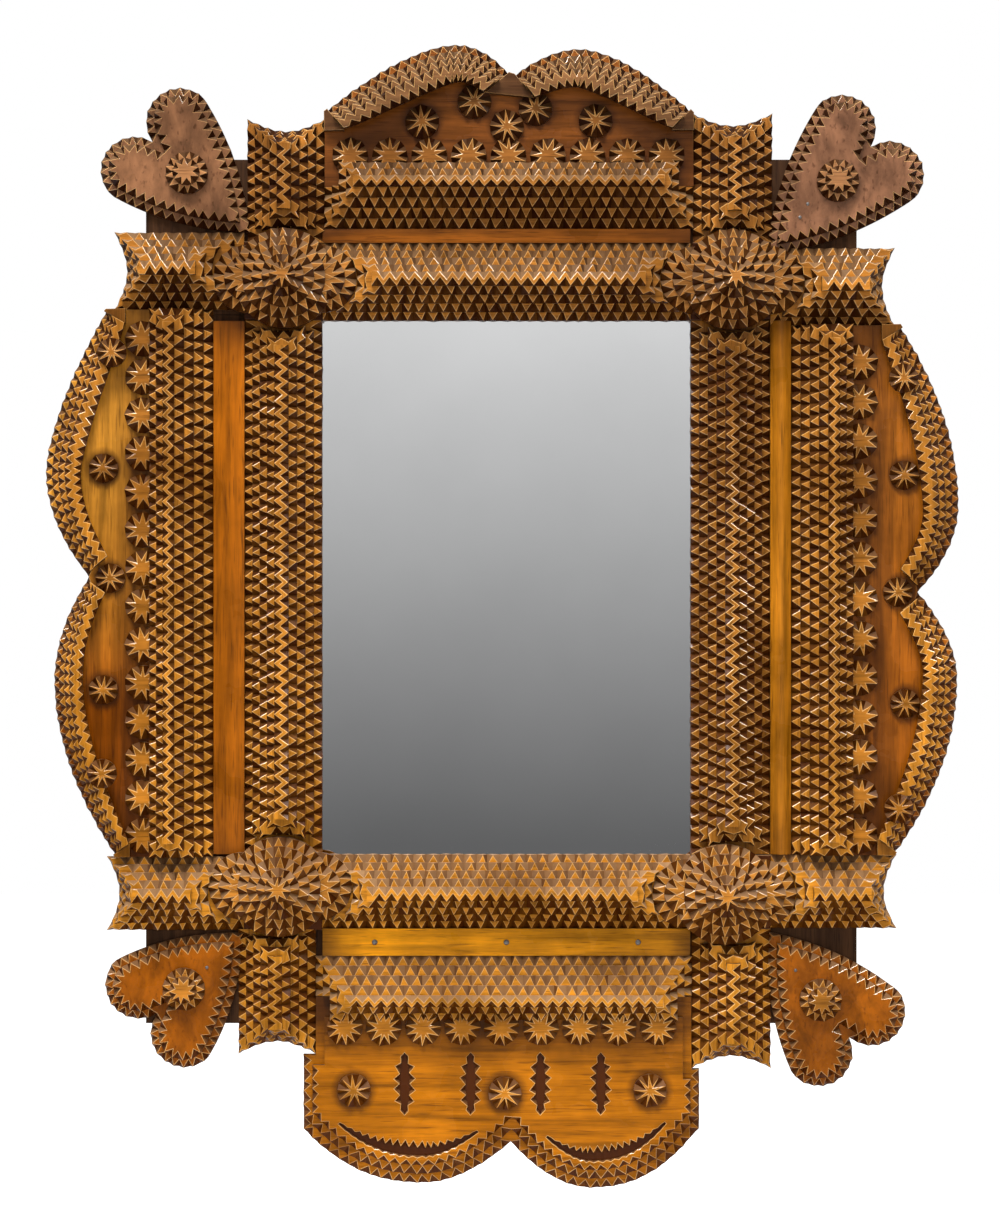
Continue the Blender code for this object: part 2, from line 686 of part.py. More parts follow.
def make_boss(corner):
    """A plug in the corner square, two lunette layers and a dome of shrinking discs."""
    turns = [2 * math.pi * index / BOSS_SIDES for index in range(BOSS_SIDES)]

    def ring(radius, reach=0.0):
        points = []
        for turn in turns:
            rise = abs(math.sin(turn))
            lunette = min(reach, LUNETTE_HALF_HEIGHT / rise if rise > MERGE_DISTANCE else reach)
            size = max(radius, lunette)
            points.append((size * math.cos(turn), size * math.sin(turn)))
        return points

    plug = ring(min(corner.half_across, corner.half_up) - SEAT_GAP)
    dome_base = CARVING_BASE + PLUG_LAYERS * LAYER + SEAT_GAP
    reaches = LUNETTE_REACHES + (0.0,) * (len(BOSS_RADII) - len(LUNETTE_REACHES))
    dome = [ring(radius, reach) for radius, reach in zip(BOSS_RADII, reaches)]
    loops = [(plug, CARVING_BASE), (plug, dome_base)] + layers(dome, dome_base, LAYER)
    finish(body("corner_boss_" + corner.name, loops, corner.place), AMBER)


def heart_outline(length):
    """A heart along its own axis: the tip at the start, two round lobes at the far end."""
    centre_a = length - HEART_LOBE_RADIUS
    centre_b = HEART_LOBE_RADIUS - HEART_LOBE_OVERLAP
    shoulder = Vector((length * HEART_SHOULDER_SHARE, HEART_SHOULDER))
    cleft_turn = -math.asin(centre_b / HEART_LOBE_RADIUS)
    half = []
    side_end = Vector((centre_a, centre_b + HEART_LOBE_RADIUS))
    for step in range(1, HEART_SEGMENTS):
        share = step / HEART_SEGMENTS
        point = shoulder * 2 * share * (1 - share) + side_end * share ** 2
        half.append((point.x, point.y))
    arc_steps = HEART_SEGMENTS + 1
    for step in range(arc_steps + 1):
        turn = math.pi / 2 + (cleft_turn - math.pi / 2) * step / arc_steps
        half.append((centre_a + HEART_LOBE_RADIUS * math.cos(turn),
                     centre_b + HEART_LOBE_RADIUS * math.sin(turn)))
    half[-1] = (half[-1][0], 0.0)
    mirrored = [(a, -b) for a, b in reversed(half[:-1])]
    return [(0.0, 0.0)] + half + mirrored


def make_heart(corner):
    """Two heart-shaped layers on the corner boards, and a rosette of two tiers on them."""
    cosine, sine = math.cos(corner.heart_angle), math.sin(corner.heart_angle)
    tip_a = corner.half_across + HEART_SETBACK
    tip_b = corner.half_up + HEART_SETBACK

    def place(a, b, depth):
        return corner.place(tip_a + a * cosine - b * sine, tip_b + a * sine + b * cosine, depth)

    lower = heart_outline(corner.heart_length)
    outlines = [inset(lower, [HEART_INSET * layer] * len(lower)) for layer in range(HEART_LAYERS)]
    heart = body("heart_" + corner.name, layers(outlines, CARVING_BASE, LAYER), place)
    finish(heart, RED_BROWN)

    centre = (HEART_ROSETTE_OUT, 0.0)
    radii = [HEART_ROSETTE_RADIUS - tier * HEART_ROSETTE_STEP for tier in range(HEART_ROSETTE_TIERS)]
    tiers = [circle(centre, radius, HEART_ROSETTE_SIDES) for radius in radii]
    on_heart = CARVING_BASE + HEART_LAYERS * LAYER + SEAT_GAP
    rosette = body("heart_rosette_" + corner.name, layers(tiers, on_heart, LAYER), place)
    finish(rosette, AMBER)


def nail_loops(centre, head_front, head_back, point, clearance=0.0):
    """Rings of a headed nail from its head to its point; a clearance turns it into its hole."""
    head = circle(centre, NAIL_HEAD_RADIUS + clearance)
    shank = circle(centre, NAIL_RADIUS + clearance)
    return ((head, head_front), (head, head_back), (shank, head_back), (shank, point))


def fillet_nail_places():
    middle = (BOTTOM.inner_edge + BOTTOM.fillet_edge) / 2
    spacing = BOTTOM.half_length - FILLET_NAIL_FROM_END
    return [(spacing * step, middle) for step in (-1, 0, 1)]


def back_nail_places():
    across = HALF_WIDTH + BACK_MARGIN - BACK_NAIL_INSET
    up = HALF_HEIGHT - BACK_NAIL_INSET
    return [(across * x, up * z) for x in (-1, 1) for z in (-1, 1)]


def make_nails(back_panel, bottom_fillet, boards):
    """The nails, and the holes that they sit in."""
    seat = CARVING_BASE + FILLET_THICKNESS + FILLET_CROWN + SEAT_GAP
    holes = []
    for number, centre in enumerate(fillet_nail_places(), 1):
        loops = nail_loops(centre, seat + NAIL_HEAD_THICKNESS, seat, seat - NAIL_LENGTH)
        finish(body("fillet_nail_%d" % number, loops, BOTTOM.place), IRON, roughness=0.5, metallic=1.0)
        bore = circle(centre, NAIL_RADIUS + SEAT_GAP)
        holes.append(((bore, seat + CUTTER_OVERSHOOT), (bore, seat - NAIL_LENGTH - SEAT_GAP)))
    front_holes = hide_tool(bodies("fillet_nail_holes", holes, BOTTOM.place))
    shape_with(bottom_fillet, front_holes, "DIFFERENCE")
    shape_with(boards["bottom"], front_holes, "DIFFERENCE")

    holes = []
    for number, centre in enumerate(back_nail_places(), 1):
        loops = nail_loops(centre, SEAT_GAP, SEAT_GAP + NAIL_HEAD_THICKNESS, NAIL_LENGTH)
        finish(body("back_nail_%d" % number, loops, TOP.place), IRON, roughness=0.5, metallic=1.0)
        under_head = 2 * SEAT_GAP + NAIL_HEAD_THICKNESS
        holes.append(nail_loops(centre, -CUTTER_OVERSHOOT, under_head, NAIL_LENGTH + SEAT_GAP, SEAT_GAP))
    back_holes = hide_tool(bodies("back_nail_holes", holes, TOP.place))
    for host in (back_panel, boards["left"], boards["right"]):
        shape_with(host, back_holes, "DIFFERENCE")


def tube(name, points, radius, is_ring, location):
    """A round wire along points given from its own origin."""
    data = bpy.data.curves.new(name, "CURVE")
    data.dimensions = "3D"
    data.bevel_depth = radius
    data.bevel_resolution = 2
    data.use_fill_caps = True
    spline = data.splines.new("POLY")
    spline.points.add(len(points) - 1)
    for target, point in zip(spline.points, points):
        target.co = (*point, 1.0)
    spline.use_cyclic_u = is_ring
    item = bpy.data.objects.new(name, data)
    item.location = location
    bpy.context.scene.collection.objects.link(item)
    return item


def make_hanger(boards):
    """A ring held to the back of the top board by a wire staple; it hinges about the wire in the staple."""
    ring_depth = BOARD_BACK - STAPLE_CLEARANCE - RING_WIRE_RADIUS
    axis_height = TOP.edge + BOARD_EDGE - HANGER_FROM_TOP
    hinge = TOP.place(0.0, axis_height, ring_depth)
    turns = [2 * math.pi * step / RING_SEGMENTS for step in range(RING_SEGMENTS)]
    around = [(RING_RADIUS * math.sin(turn), 0.0, RING_RADIUS * (math.cos(turn) - 1)) for turn in turns]
    finish(tube("hanger_ring", around, RING_WIRE_RADIUS, True, hinge), IRON, roughness=0.45, metallic=1.0)

    leg = RING_WIRE_RADIUS + STAPLE_CLEARANCE + STAPLE_WIRE_RADIUS
    into_board = -(BOARD_BACK + STAPLE_LEG_DEPTH - ring_depth)
    bend = [math.pi * step / STAPLE_SEGMENTS for step in range(STAPLE_SEGMENTS + 1)]
    crown = [(0.0, leg * math.sin(turn), leg * math.cos(turn)) for turn in bend]
    path = [(0.0, into_board, leg)] + crown + [(0.0, into_board, -leg)]
    finish(tube("hanger_staple", path, STAPLE_WIRE_RADIUS, False, hinge), IRON, roughness=0.5, metallic=1.0)

    holes = []
    for height in (axis_height - leg, axis_height + leg):
        bore = circle((0.0, height), STAPLE_WIRE_RADIUS + SEAT_GAP)
        bottom = BOARD_BACK + STAPLE_LEG_DEPTH + SEAT_GAP
        holes.append(((bore, BOARD_BACK - CUTTER_OVERSHOOT), (bore, bottom)))
    staple_holes = hide_tool(bodies("staple_holes", holes, TOP.place))
    shape_with(boards["top"], staple_holes, "DIFFERENCE")


def main():
    clear_scene()
    boards = make_boards()
    back_panel = make_glass_and_back()
    fillets = {}
    for side in SIDES:
        make_inner_moulding(side)
        fillets[side.name] = make_fillet(side)
        make_outer_moulding(side)
    for side in (LEFT, RIGHT, TOP):
        make_panel(side)
        make_rims(side, TOP_RIM_LAYERS if side is TOP else SIDE_RIM_LAYERS)
    make_bottom_panel()
    for corner in CORNERS:
        make_arm(corner, True)
        make_arm(corner, False)
        make_boss(corner)
        make_heart(corner)
    make_nails(back_panel, fillets["bottom"], boards)
    make_hanger(boards)


main()
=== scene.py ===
"""Chip-carved wood, glass and iron for the layered wall mirror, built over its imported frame.

The mirror hangs against a wall at y = 0 and faces -Y, with +Z up. Depth is counted forwards from the wall,
so a depth of 14 mm is y = -0.014. All sizes are in metres.
"""

import json
import math
import random

import bmesh
import bpy
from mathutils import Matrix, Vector

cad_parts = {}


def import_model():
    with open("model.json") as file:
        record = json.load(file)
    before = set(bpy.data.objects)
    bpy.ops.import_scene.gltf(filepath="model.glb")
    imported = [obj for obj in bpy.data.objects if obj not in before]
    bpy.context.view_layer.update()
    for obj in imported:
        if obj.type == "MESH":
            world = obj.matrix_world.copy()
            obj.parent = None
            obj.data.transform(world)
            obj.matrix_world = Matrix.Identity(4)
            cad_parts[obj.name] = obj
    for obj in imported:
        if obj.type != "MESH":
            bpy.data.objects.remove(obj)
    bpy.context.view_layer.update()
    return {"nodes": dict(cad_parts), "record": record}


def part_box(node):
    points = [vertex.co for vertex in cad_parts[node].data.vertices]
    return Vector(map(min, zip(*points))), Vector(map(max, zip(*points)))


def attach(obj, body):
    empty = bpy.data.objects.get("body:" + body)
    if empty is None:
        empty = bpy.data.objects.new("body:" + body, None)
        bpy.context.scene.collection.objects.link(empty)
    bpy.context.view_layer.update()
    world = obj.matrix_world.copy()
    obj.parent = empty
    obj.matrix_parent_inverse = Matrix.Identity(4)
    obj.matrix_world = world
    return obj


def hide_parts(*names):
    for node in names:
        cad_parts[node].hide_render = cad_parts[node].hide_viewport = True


bl_info = {
    "name": "Chip-Carved Mirror",
    "version": (1, 0, 0),
    "blender": (4, 5, 0),
    "location": "View3D > Sidebar > Mirror",
    "description": "Carves the layers, rosettes and hearts of a wall mirror over its frame",
    "category": "Object",
}

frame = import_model()

# How the frame is stacked, repeated from the part so that the carving lies where its layers are
LAYER = 0.004
LAYER_COUNT = 5
SEAT_GAP = 0.0003
BOARD_FRONT = 0.0143
CARVING_BASE = BOARD_FRONT + SEAT_GAP
PANEL_TOP = CARVING_BASE + LAYER
ON_PANEL = PANEL_TOP + SEAT_GAP
INNER_RIBBON = 0.0075
OUTER_RIBBON = 0.006
OUTER_BACK_STEP = 0.004
BESIDE_PANEL_LAYERS = 2
HIP_STEP = 0.004
PANEL_LAP = 0.012
PANEL_REACH = 0.060
BOSS_RADII = (0.0265, 0.0265, 0.0218, 0.0164, 0.0112, 0.0069)
BOSS_CLEARANCE = 0.0005
LUNETTE_REACHES = (0.038, 0.032)
LUNETTE_MIDDLE = 0.020
FISHTAIL_DEPTH = 0.0065
ARM_END_STEP = 0.0022
HEART_LOBE_RADIUS = 0.0180
HEART_LOBE_OVERLAP = 0.0003
HEART_SHOULDER = 0.027
HEART_SHOULDER_SHARE = 0.36
HEART_INSET = 0.0045
HEART_SETBACK = 0.0035
HEART_ROSETTE_RADIUS = 0.0112
HEART_ROSETTE_STEP = 0.004
ROW_ROSETTE_RADIUS = 0.0095
ROW_ROSETTE_OUT = 0.004
ROSETTE_THICKNESS = 0.0034
RIM_STEP = 0.0041
RIBBON_WIDTH = 0.0095
RIM_TRIMS = (0.0015, 0.0015)
RIM_ARM_SHARE = 0.64
RIM_NOTCH_SHARE = 0.75
RIM_SHARES = {"left": (0.92, 0.76), "right": (0.95, 0.92), "top": (1.06, 1.06)}
RIM_SWELL_POWER = 0.75
PLAQUE_SIDE_INSET = 0.005
PLAQUE_LOBE_STEP = 0.0051
PLAQUE_LAP = 0.001
SHOULDER_LEFT = 0.0065
SHOULDER_RIGHT = 0.0041

# How far the two arms at each side's high and low end stray outwards from the line of the mouldings
ARM_DRIFTS = {
    "left": (0.0058, 0.0010), "right": (-0.0026, 0.0), "top": (0.0013, -0.0013), "bottom": (0.0005, 0.0034)}


class Side:
    """One side of the frame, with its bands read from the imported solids, outwards from the glass's middle."""

    def __init__(self, name, along, out):
        self.name = name
        self.along = Vector(along)
        self.out = Vector(out)
        self.sight, self.inner_edge = self.reach("inner_moulding_" + name, self.out)
        self.fillet_edge, self.edge = self.reach("outer_moulding_" + name, self.out)
        self.half_length = self.reach("fillet_" + name, self.along)[1] + SEAT_GAP
        self.inner = self.inner_edge - self.sight
        self.high_end, self.low_end = (self.half_length + drift for drift in ARM_DRIFTS[name])

    @staticmethod
    def reach(node, axis):
        """How near and how far a solid reaches along an axis."""
        low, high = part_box(node)
        return sorted((low.dot(axis), high.dot(axis)))

    def place(self, u, v, depth):
        """The world point u along the side, v outwards from the glass's middle, at a depth."""
        return self.along * u + self.out * v + Vector((0.0, -depth, 0.0))


LEFT = Side("left", (0, 0, 1), (-1, 0, 0))
RIGHT = Side("right", (0, 0, 1), (1, 0, 0))
TOP = Side("top", (1, 0, 0), (0, 0, 1))
BOTTOM = Side("bottom", (1, 0, 0), (0, 0, -1))
SIDES = (LEFT, RIGHT, TOP, BOTTOM)


class Lobe:
    """One swelling of a scalloped edge: a crest that falls to a foot on either side along power curves."""

    def __init__(self, crest, first_foot, last_foot, first_power, last_power):
        self.crest = crest
        self.first_foot = first_foot
        self.last_foot = last_foot
        self.first_power = first_power
        self.last_power = last_power

    def height(self, u):
        """How far the edge stands out at u along the side."""
        before = (u - self.crest[0]) * (self.first_foot[0] - self.crest[0]) > 0
        foot = self.first_foot if before else self.last_foot
        power = self.first_power if before else self.last_power
        share = abs((u - self.crest[0]) / (foot[0] - self.crest[0]))
        return self.crest[1] - (self.crest[1] - foot[1]) * share ** power

    def samples(self, count):
        """Places along the side from the first foot to the last, closer together near the feet."""
        turns = [math.pi / 2 * step / count for step in range(count + 1)]
        crest = self.crest[0]
        rising = [crest + (self.first_foot[0] - crest) * math.cos(turn) for turn in turns]
        falling = [crest + (self.last_foot[0] - crest) * math.sin(turn) for turn in turns[1:]]
        return rising + falling


def on_panel(side, shares):
    """A point of a scalloped panel, from shares of the side's half length and of the panels' reach."""
    return shares[0] * side.half_length, side.edge + shares[1] * PANEL_REACH


def lobes_of(side, crests, notch, feet, powers):
    """The two lobes of a scalloped panel, from the side's high end of u to its low end."""
    high_foot = (side.high_end, side.edge + feet[0] * PANEL_REACH)
    low_foot = (-side.low_end, side.edge + feet[1] * PANEL_REACH)
    middle = on_panel(side, notch)
    high = Lobe(on_panel(side, crests[0]), high_foot, middle, powers[0], powers[1])
    low = Lobe(on_panel(side, crests[1]), middle, low_foot, powers[2], powers[3])
    return high, low


# Each scalloped edge: crests and notch as shares of the side's half length and of the panels' reach,
# feet as shares of the reach, and how full the curves are
LOBES = {
    "left": lobes_of(LEFT, ((0.4387, 0.9317), (-0.3521, 0.8567)), (0.0394, 0.5467), (0.3883, 0.3083),
                     (1.5, 2.0, 2.0, 1.9)),
    "right": lobes_of(RIGHT, ((0.3077, 0.9467), (-0.3303, 0.9367)), (-0.0169, 0.5833), (0.4250, 0.3717),
                      (2.0, 2.0, 1.8, 2.1)),
    "top": lobes_of(TOP, ((0.3980, 1.0250), (-0.2949, 1.0600)), (0.0296, 0.7683), (0.4500, 0.4583),
                    (1.65, 1.9, 2.3, 1.55)),
    "bottom": lobes_of(BOTTOM, ((0.4520, 1.5050), (-0.4408, 1.4617)), (0.0245, 1.0983), (1.0500, 1.0900),
                       (2.4, 1.9, 1.8, 2.4)),
}

# Rosettes in each row: how many, and how many of their radii the first and last stand from the ends
ROSETTE_ROWS = {
    "left": (14, 1.0526, 1.0737),
    "right": (13, 2.3684, 1.0737),
    "top": (9, 1.3579, 1.5895),
    "bottom": (9, 1.8632, 1.3053),
}

# Loose rosettes on each panel, as shares of the half length and of the panels' reach, and their radii
FIELD_ROSETTES = {
    "left": ((0.8732, 0.3230), (0.4458, 0.4150), (0.0352, 0.3533), (-0.3824, 0.4150), (-0.6923, 0.4080)),
    "right": ((0.7782, 0.4350), (0.4197, 0.4600), (-0.0169, 0.4033), (-0.4345, 0.4683), (-0.8232, 0.3930)),
    "top": ((-0.4571, 0.3700), (-0.1735, 0.5467), (0.0031, 0.3267), (0.1582, 0.4850), (0.4837, 0.3783)),
    "bottom": ((-0.8245, 0.6217), (-0.0082, 0.6483), (0.7765, 0.6217)),
}
FIELD_RADIUS = {"left": 0.0078, "right": 0.0078, "top": 0.009, "bottom": 0.0088}

# Which of the loose rosettes stand on the rim
ON_RIM = {"left": (0, 4), "right": (0, 4), "top": (), "bottom": ()}


class Corner:
    """The square where two sides meet, with the boss in its middle."""

    def __init__(self, name, upright, level, boss_drift, heart):
        self.name = name
        self.boss_drift = boss_drift
        at_level_end = ARM_DRIFTS[level.name][0 if upright is RIGHT else 1]
        at_upright_end = ARM_DRIFTS[upright.name][0 if level is TOP else 1]
        self.arm_drift = (at_level_end, at_upright_end)
        self.heart_length, heart_angle, self.heart_rosette_out, *self.heart_drift = heart
        self.heart_angle = math.radians(heart_angle)
        self.half_across = upright.inner / 2
        self.half_up = level.inner / 2
        self.across = upright.out
        self.up = level.out
        self.centre = self.across * (upright.sight + self.half_across) + self.up * (level.sight + self.half_up)
        self.up_end = Side.reach("arm_" + name + "_upright", self.up)[1] - self.centre.dot(self.up)
        self.out_end = Side.reach("arm_" + name + "_level", self.across)[1] - self.centre.dot(self.across)

    def place(self, a, b, depth):
        """The world point a along the level side and b along the upright, out from the boss's middle."""
        return self.centre + self.across * a + self.up * b + Vector((0.0, -depth, 0.0))

    def on_boss(self, a, b, depth):
        """The world point a outwards and b along the upright from where the boss was set by eye."""
        return self.place(a + self.boss_drift[0], b + self.boss_drift[1], depth)

    def on_upright_arm(self, across, along, depth):
        """The world point across and along the upright arm, which is a little out of line."""
        return self.place(across + self.arm_drift[0], along, depth)

    def on_level_arm(self, across, along, depth):
        """The world point across and along the level arm, which is a little out of line."""
        return self.place(along, across + self.arm_drift[1], depth)

    def on_heart(self, a, b, depth):
        """The world point a along the heart from its tip and b across it."""
        cosine, sine = math.cos(self.heart_angle), math.sin(self.heart_angle)
        tip_a = self.half_across + HEART_SETBACK + self.heart_drift[0]
        tip_b = self.half_up + HEART_SETBACK + self.heart_drift[1]
        return self.place(tip_a + a * cosine - b * sine, tip_b + a * sine + b * cosine, depth)


# Each corner, with how far its boss strays from the line of the mouldings, and its heart's length, angle,
# distance of the rosette from the tip, and straying
CORNERS = (
    Corner("top_left", LEFT, TOP, (-0.0012, 0.0009), (0.0855, 43, 0.0450, -0.0062, 0.0022)),
    Corner("top_right", RIGHT, TOP, (0.0006, 0.0001), (0.0945, 46, 0.0537, -0.0053, -0.0098)),
    Corner("bottom_left", LEFT, BOTTOM, (0.0012, -0.0034), (0.0775, 43, 0.0425, -0.0028, -0.0009)),
    Corner("bottom_right", RIGHT, BOTTOM, (-0.0037, 0.0005), (0.085, 52.5, 0.0443, -0.0041, -0.0013)),
)


class CarvingSettings(bpy.types.PropertyGroup):
    """Sizes of the chip carving."""

    pitch: bpy.props.FloatProperty(
        name="Notch Pitch", description="Distance between notches along a moulding", default=0.0066, unit="LENGTH")
    round_pitch: bpy.props.FloatProperty(
        name="Boss Pitch", description="Distance between notches round a boss", default=0.0070, unit="LENGTH")
    heart_pitch: bpy.props.FloatProperty(
        name="Heart Pitch", description="Distance between notches round a heart", default=0.0056, unit="LENGTH")
    rim_pitch: bpy.props.FloatProperty(
        name="Rim Pitch", description="Distance between notches along a scalloped rim", default=0.0062,
        unit="LENGTH")
    notch_depth: bpy.props.FloatProperty(
        name="Notch Depth", description="How far a notch runs in from the edge", default=0.0060, unit="LENGTH")
    ribbon_share: bpy.props.FloatProperty(
        name="Ribbon Share", description="How much of a zigzag ribbon's width its notches cut", default=0.58,
        subtype="FACTOR", min=0.0, max=0.95)
    wear_width: bpy.props.FloatProperty(
        name="Worn Edge", description="Width of the rubbed edge round each flat", default=0.0003, unit="LENGTH")
    wear_drop: bpy.props.FloatProperty(
        name="Worn Drop", description="How far the rubbed edge falls away", default=0.00025, unit="LENGTH")
    unevenness: bpy.props.FloatProperty(
        name="Unevenness", description="How far the knife strays", default=0.0002, unit="LENGTH")
    seed: bpy.props.IntProperty(name="Seed", description="Chooses another hand-cut pattern", default=7)


class FinishSettings(bpy.types.PropertyGroup):
    """Colours of the wood, its stain and its rubbed edges."""

    low_flat: bpy.props.FloatVectorProperty(
        name="Lower Shellac", description="Flats near the bottom", subtype="COLOR", size=3,
        default=(0.52, 0.200, 0.012))
    high_flat: bpy.props.FloatVectorProperty(
        name="Upper Shellac", description="Flats near the top", subtype="COLOR", size=3,
        default=(0.23, 0.083, 0.013))
    low_stain: bpy.props.FloatVectorProperty(
        name="Lower Stain", description="Notches near the bottom", subtype="COLOR", size=3,
        default=(0.065, 0.015, 0.0012))
    high_stain: bpy.props.FloatVectorProperty(
        name="Upper Stain", description="Notches near the top", subtype="COLOR", size=3,
        default=(0.016, 0.0035, 0.0008))
    rubbed: bpy.props.FloatVectorProperty(
        name="Rubbed Edge", description="Edges where the shellac has worn thin", subtype="COLOR", size=3,
        default=(0.70, 0.40, 0.13))
    # Colour of dark varnish at edges, at ends and round rosettes, which also stands in for painted shade there.
    pool: bpy.props.FloatVectorProperty(
        name="Varnish Pools", description="Thick varnish at edges and ends", subtype="COLOR", size=3,
        default=(0.045, 0.013, 0.003))
    # Colour of dust on upward ledges, which also stands in for the painted sheen of the light above.
    dust_and_sheen: bpy.props.FloatVectorProperty(
        name="Dust", description="Dust on ledges that face up", subtype="COLOR", size=3,
        default=(0.34, 0.195, 0.092))


class StageSettings(bpy.types.PropertyGroup):
    """The camera, lamps and floor."""

    distance: bpy.props.FloatProperty(
        name="Camera Distance", description="From the middle of the carving", default=1.5, unit="LENGTH")
    view_height: bpy.props.FloatProperty(
        name="View Height", description="Height of the picture at the carving", default=0.653, unit="LENGTH")
    floor_height: bpy.props.FloatProperty(
        name="Floor", description="Height of the floor below the mirror", default=-0.46, unit="LENGTH")
    key_power: bpy.props.FloatProperty(
        name="Key Lamp", description="Power of the large lamp above", default=54.0, unit="POWER")
    low_power: bpy.props.FloatProperty(
        name="Low Lamp", description="Power of the lamp below", default=17.0, unit="POWER")
    spark_power: bpy.props.FloatProperty(
        name="Spark Lamp", description="Power of each small lamp that glints on the shellac", default=5.5,
        unit="POWER")
    fill_power: bpy.props.FloatProperty(
        name="Fill Lamp", description="Power of the lamp in front", default=14.0, unit="POWER")


def length_of(points):
    """The length of a polyline."""
    return sum((Vector(after) - Vector(before)).length for before, after in zip(points, points[1:]))


def uneven(count, stray, place):
    """Shares of the way along an edge in a count of steps, each but the ends astray as a hand would set it."""
    hand = random.Random(bpy.context.scene.mirror_carving.seed + round(1e6 * (place[0] + 3 * place[1])))
    shares = [(index + stray * hand.uniform(-1, 1)) / count for index in range(1, count)]
    return [0.0, *shares, 1.0]


def spread(points, shares):
    """Points along a polyline at shares of its length."""
    total = length_of(points)
    made = []
    gone, segment = 0.0, 0
    for distance in [total * share for share in shares]:
        while segment < len(points) - 2:
            step = (Vector(points[segment + 1]) - Vector(points[segment])).length
            if gone + step >= distance:
                break
            gone += step
            segment += 1
        start, stop = Vector(points[segment]), Vector(points[segment + 1])
        step = (stop - start).length
        share = (distance - gone) / step if step > 0 else 0.0
        made.append(start.lerp(stop, min(1.0, max(0.0, share))))
    return made


def area_of(points):
    """The signed area of an outline, positive where it runs against the clock."""
    return sum(a[0] * b[1] - b[0] * a[1] for a, b in zip(points, points[1:] + points[:1])) / 2


STRAY = 0.22
RIBBON_STRAY = 0.07
RING_STRAY = 0.12


class Run:
    """One stretch of a layer's edge, how deep its notches are, how many, and which point of a pair is cut."""

    def __init__(self, points, notch=0.0, pitch=1.0, phase=0, stray=STRAY):
        self.points = points
        self.notch = notch
        self.phase = phase
        self.stray = stray
        self.count = max(1, round(length_of(points) / pitch))


STILL = Vector((0.0, 0.0))
CORNER_SHARE = 0.66
OPEN_CORNER = 2.8


def corner_slope(before, corner, after, turn, is_shared):
    """How fast notches may deepen on leaving a corner; less where they meet others round the corner."""
    came, went = corner - before, after - corner
    inside = math.pi - math.atan2(came.x * went.y - came.y * went.x, came.dot(went)) * turn
    inside = min(inside, OPEN_CORNER)
    return CORNER_SHARE * math.tan(inside / 2 if is_shared else min(inside, OPEN_CORNER / 2))


def notched(runs):
    """Points round a layer, the way a knife moves each inwards at the top, and the way wear then moves it."""
    paths = [[Vector(point) for point in run.points] for run in runs]
    turn = 1.0 if area_of([point for path in paths for point in path[:-1]]) > 0 else -1.0
    points, cuts, rubs = [], [], []
    for number, run in enumerate(runs):
        path, following = paths[number], paths[(number + 1) % len(paths)]
        if run.notch <= 0.0:
            points += path[:-1]
            cuts += [STILL] * (len(path) - 1)
            rubs += [0.0] * (len(path) - 1)
            continue
        shared_before = runs[number - 1].notch > 0.0
        shared_after = runs[(number + 1) % len(runs)].notch > 0.0
        first_slope = corner_slope(paths[number - 1][-2], path[0], path[1], turn, shared_before)
        last_slope = corner_slope(path[-2], path[-1], following[1], turn, shared_after)
        length = length_of(path)
        count = 2 * run.count
        shares = uneven(count, run.stray, path[0])
        made = spread(path, shares)
        for index in range(count):
            tangent = (made[index + 1] - made[max(index - 1, 0)]).normalized()
            inward = Vector((-tangent.y, tangent.x)) * turn
            share = shares[index]
            limit = length * min(first_slope * share, last_slope * (1 - share))
            cut = index % 2 == 1 - run.phase and index > 0
            points.append(made[index])
            cuts.append(inward * min(run.notch, limit) if cut else STILL)
            rubs.append(1.0)
    shrinks = shrink_of([point + cut for point, cut in zip(points, cuts)])
    return points, cuts, [move * rub for move, rub in zip(shrinks, rubs)]


def notched_ring(points, count, notch):
    """A closed layer with a count of notches all the way round it."""
    made = spread(points + points[:1], uneven(2 * count, RING_STRAY, points[0]))[:-1]
    cuts = []
    turn = 1.0 if area_of(made) > 0 else -1.0
    for index in range(2 * count):
        tangent = (made[(index + 1) % (2 * count)] - made[index - 1]).normalized()
        inward = Vector((-tangent.y, tangent.x)) * turn
        cuts.append(inward * notch if index % 2 else STILL)
    return made, cuts


MITRE_LIMIT = 2.2
PARALLEL = 1e-4


def shrink_of(points):
    """For each point of an outline, the way it moves when every edge moves inwards by one unit."""
    turn = 1.0 if area_of(points) > 0 else -1.0
    count = len(points)
    made = []
    for index in range(count):
        before = (points[index] - points[index - 1]).normalized()
        after = (points[(index + 1) % count] - points[index]).normalized()
        first = Vector((-before.y, before.x)) * turn
        second = Vector((-after.y, after.x)) * turn
        both = first + second
        if both.length < PARALLEL:
            made.append(Vector((0.0, 0.0)))
            continue
        both.normalize()
        reach = 1.0 / max(both.dot(first), 1.0 / MITRE_LIMIT)
        made.append(both * reach)
    return made


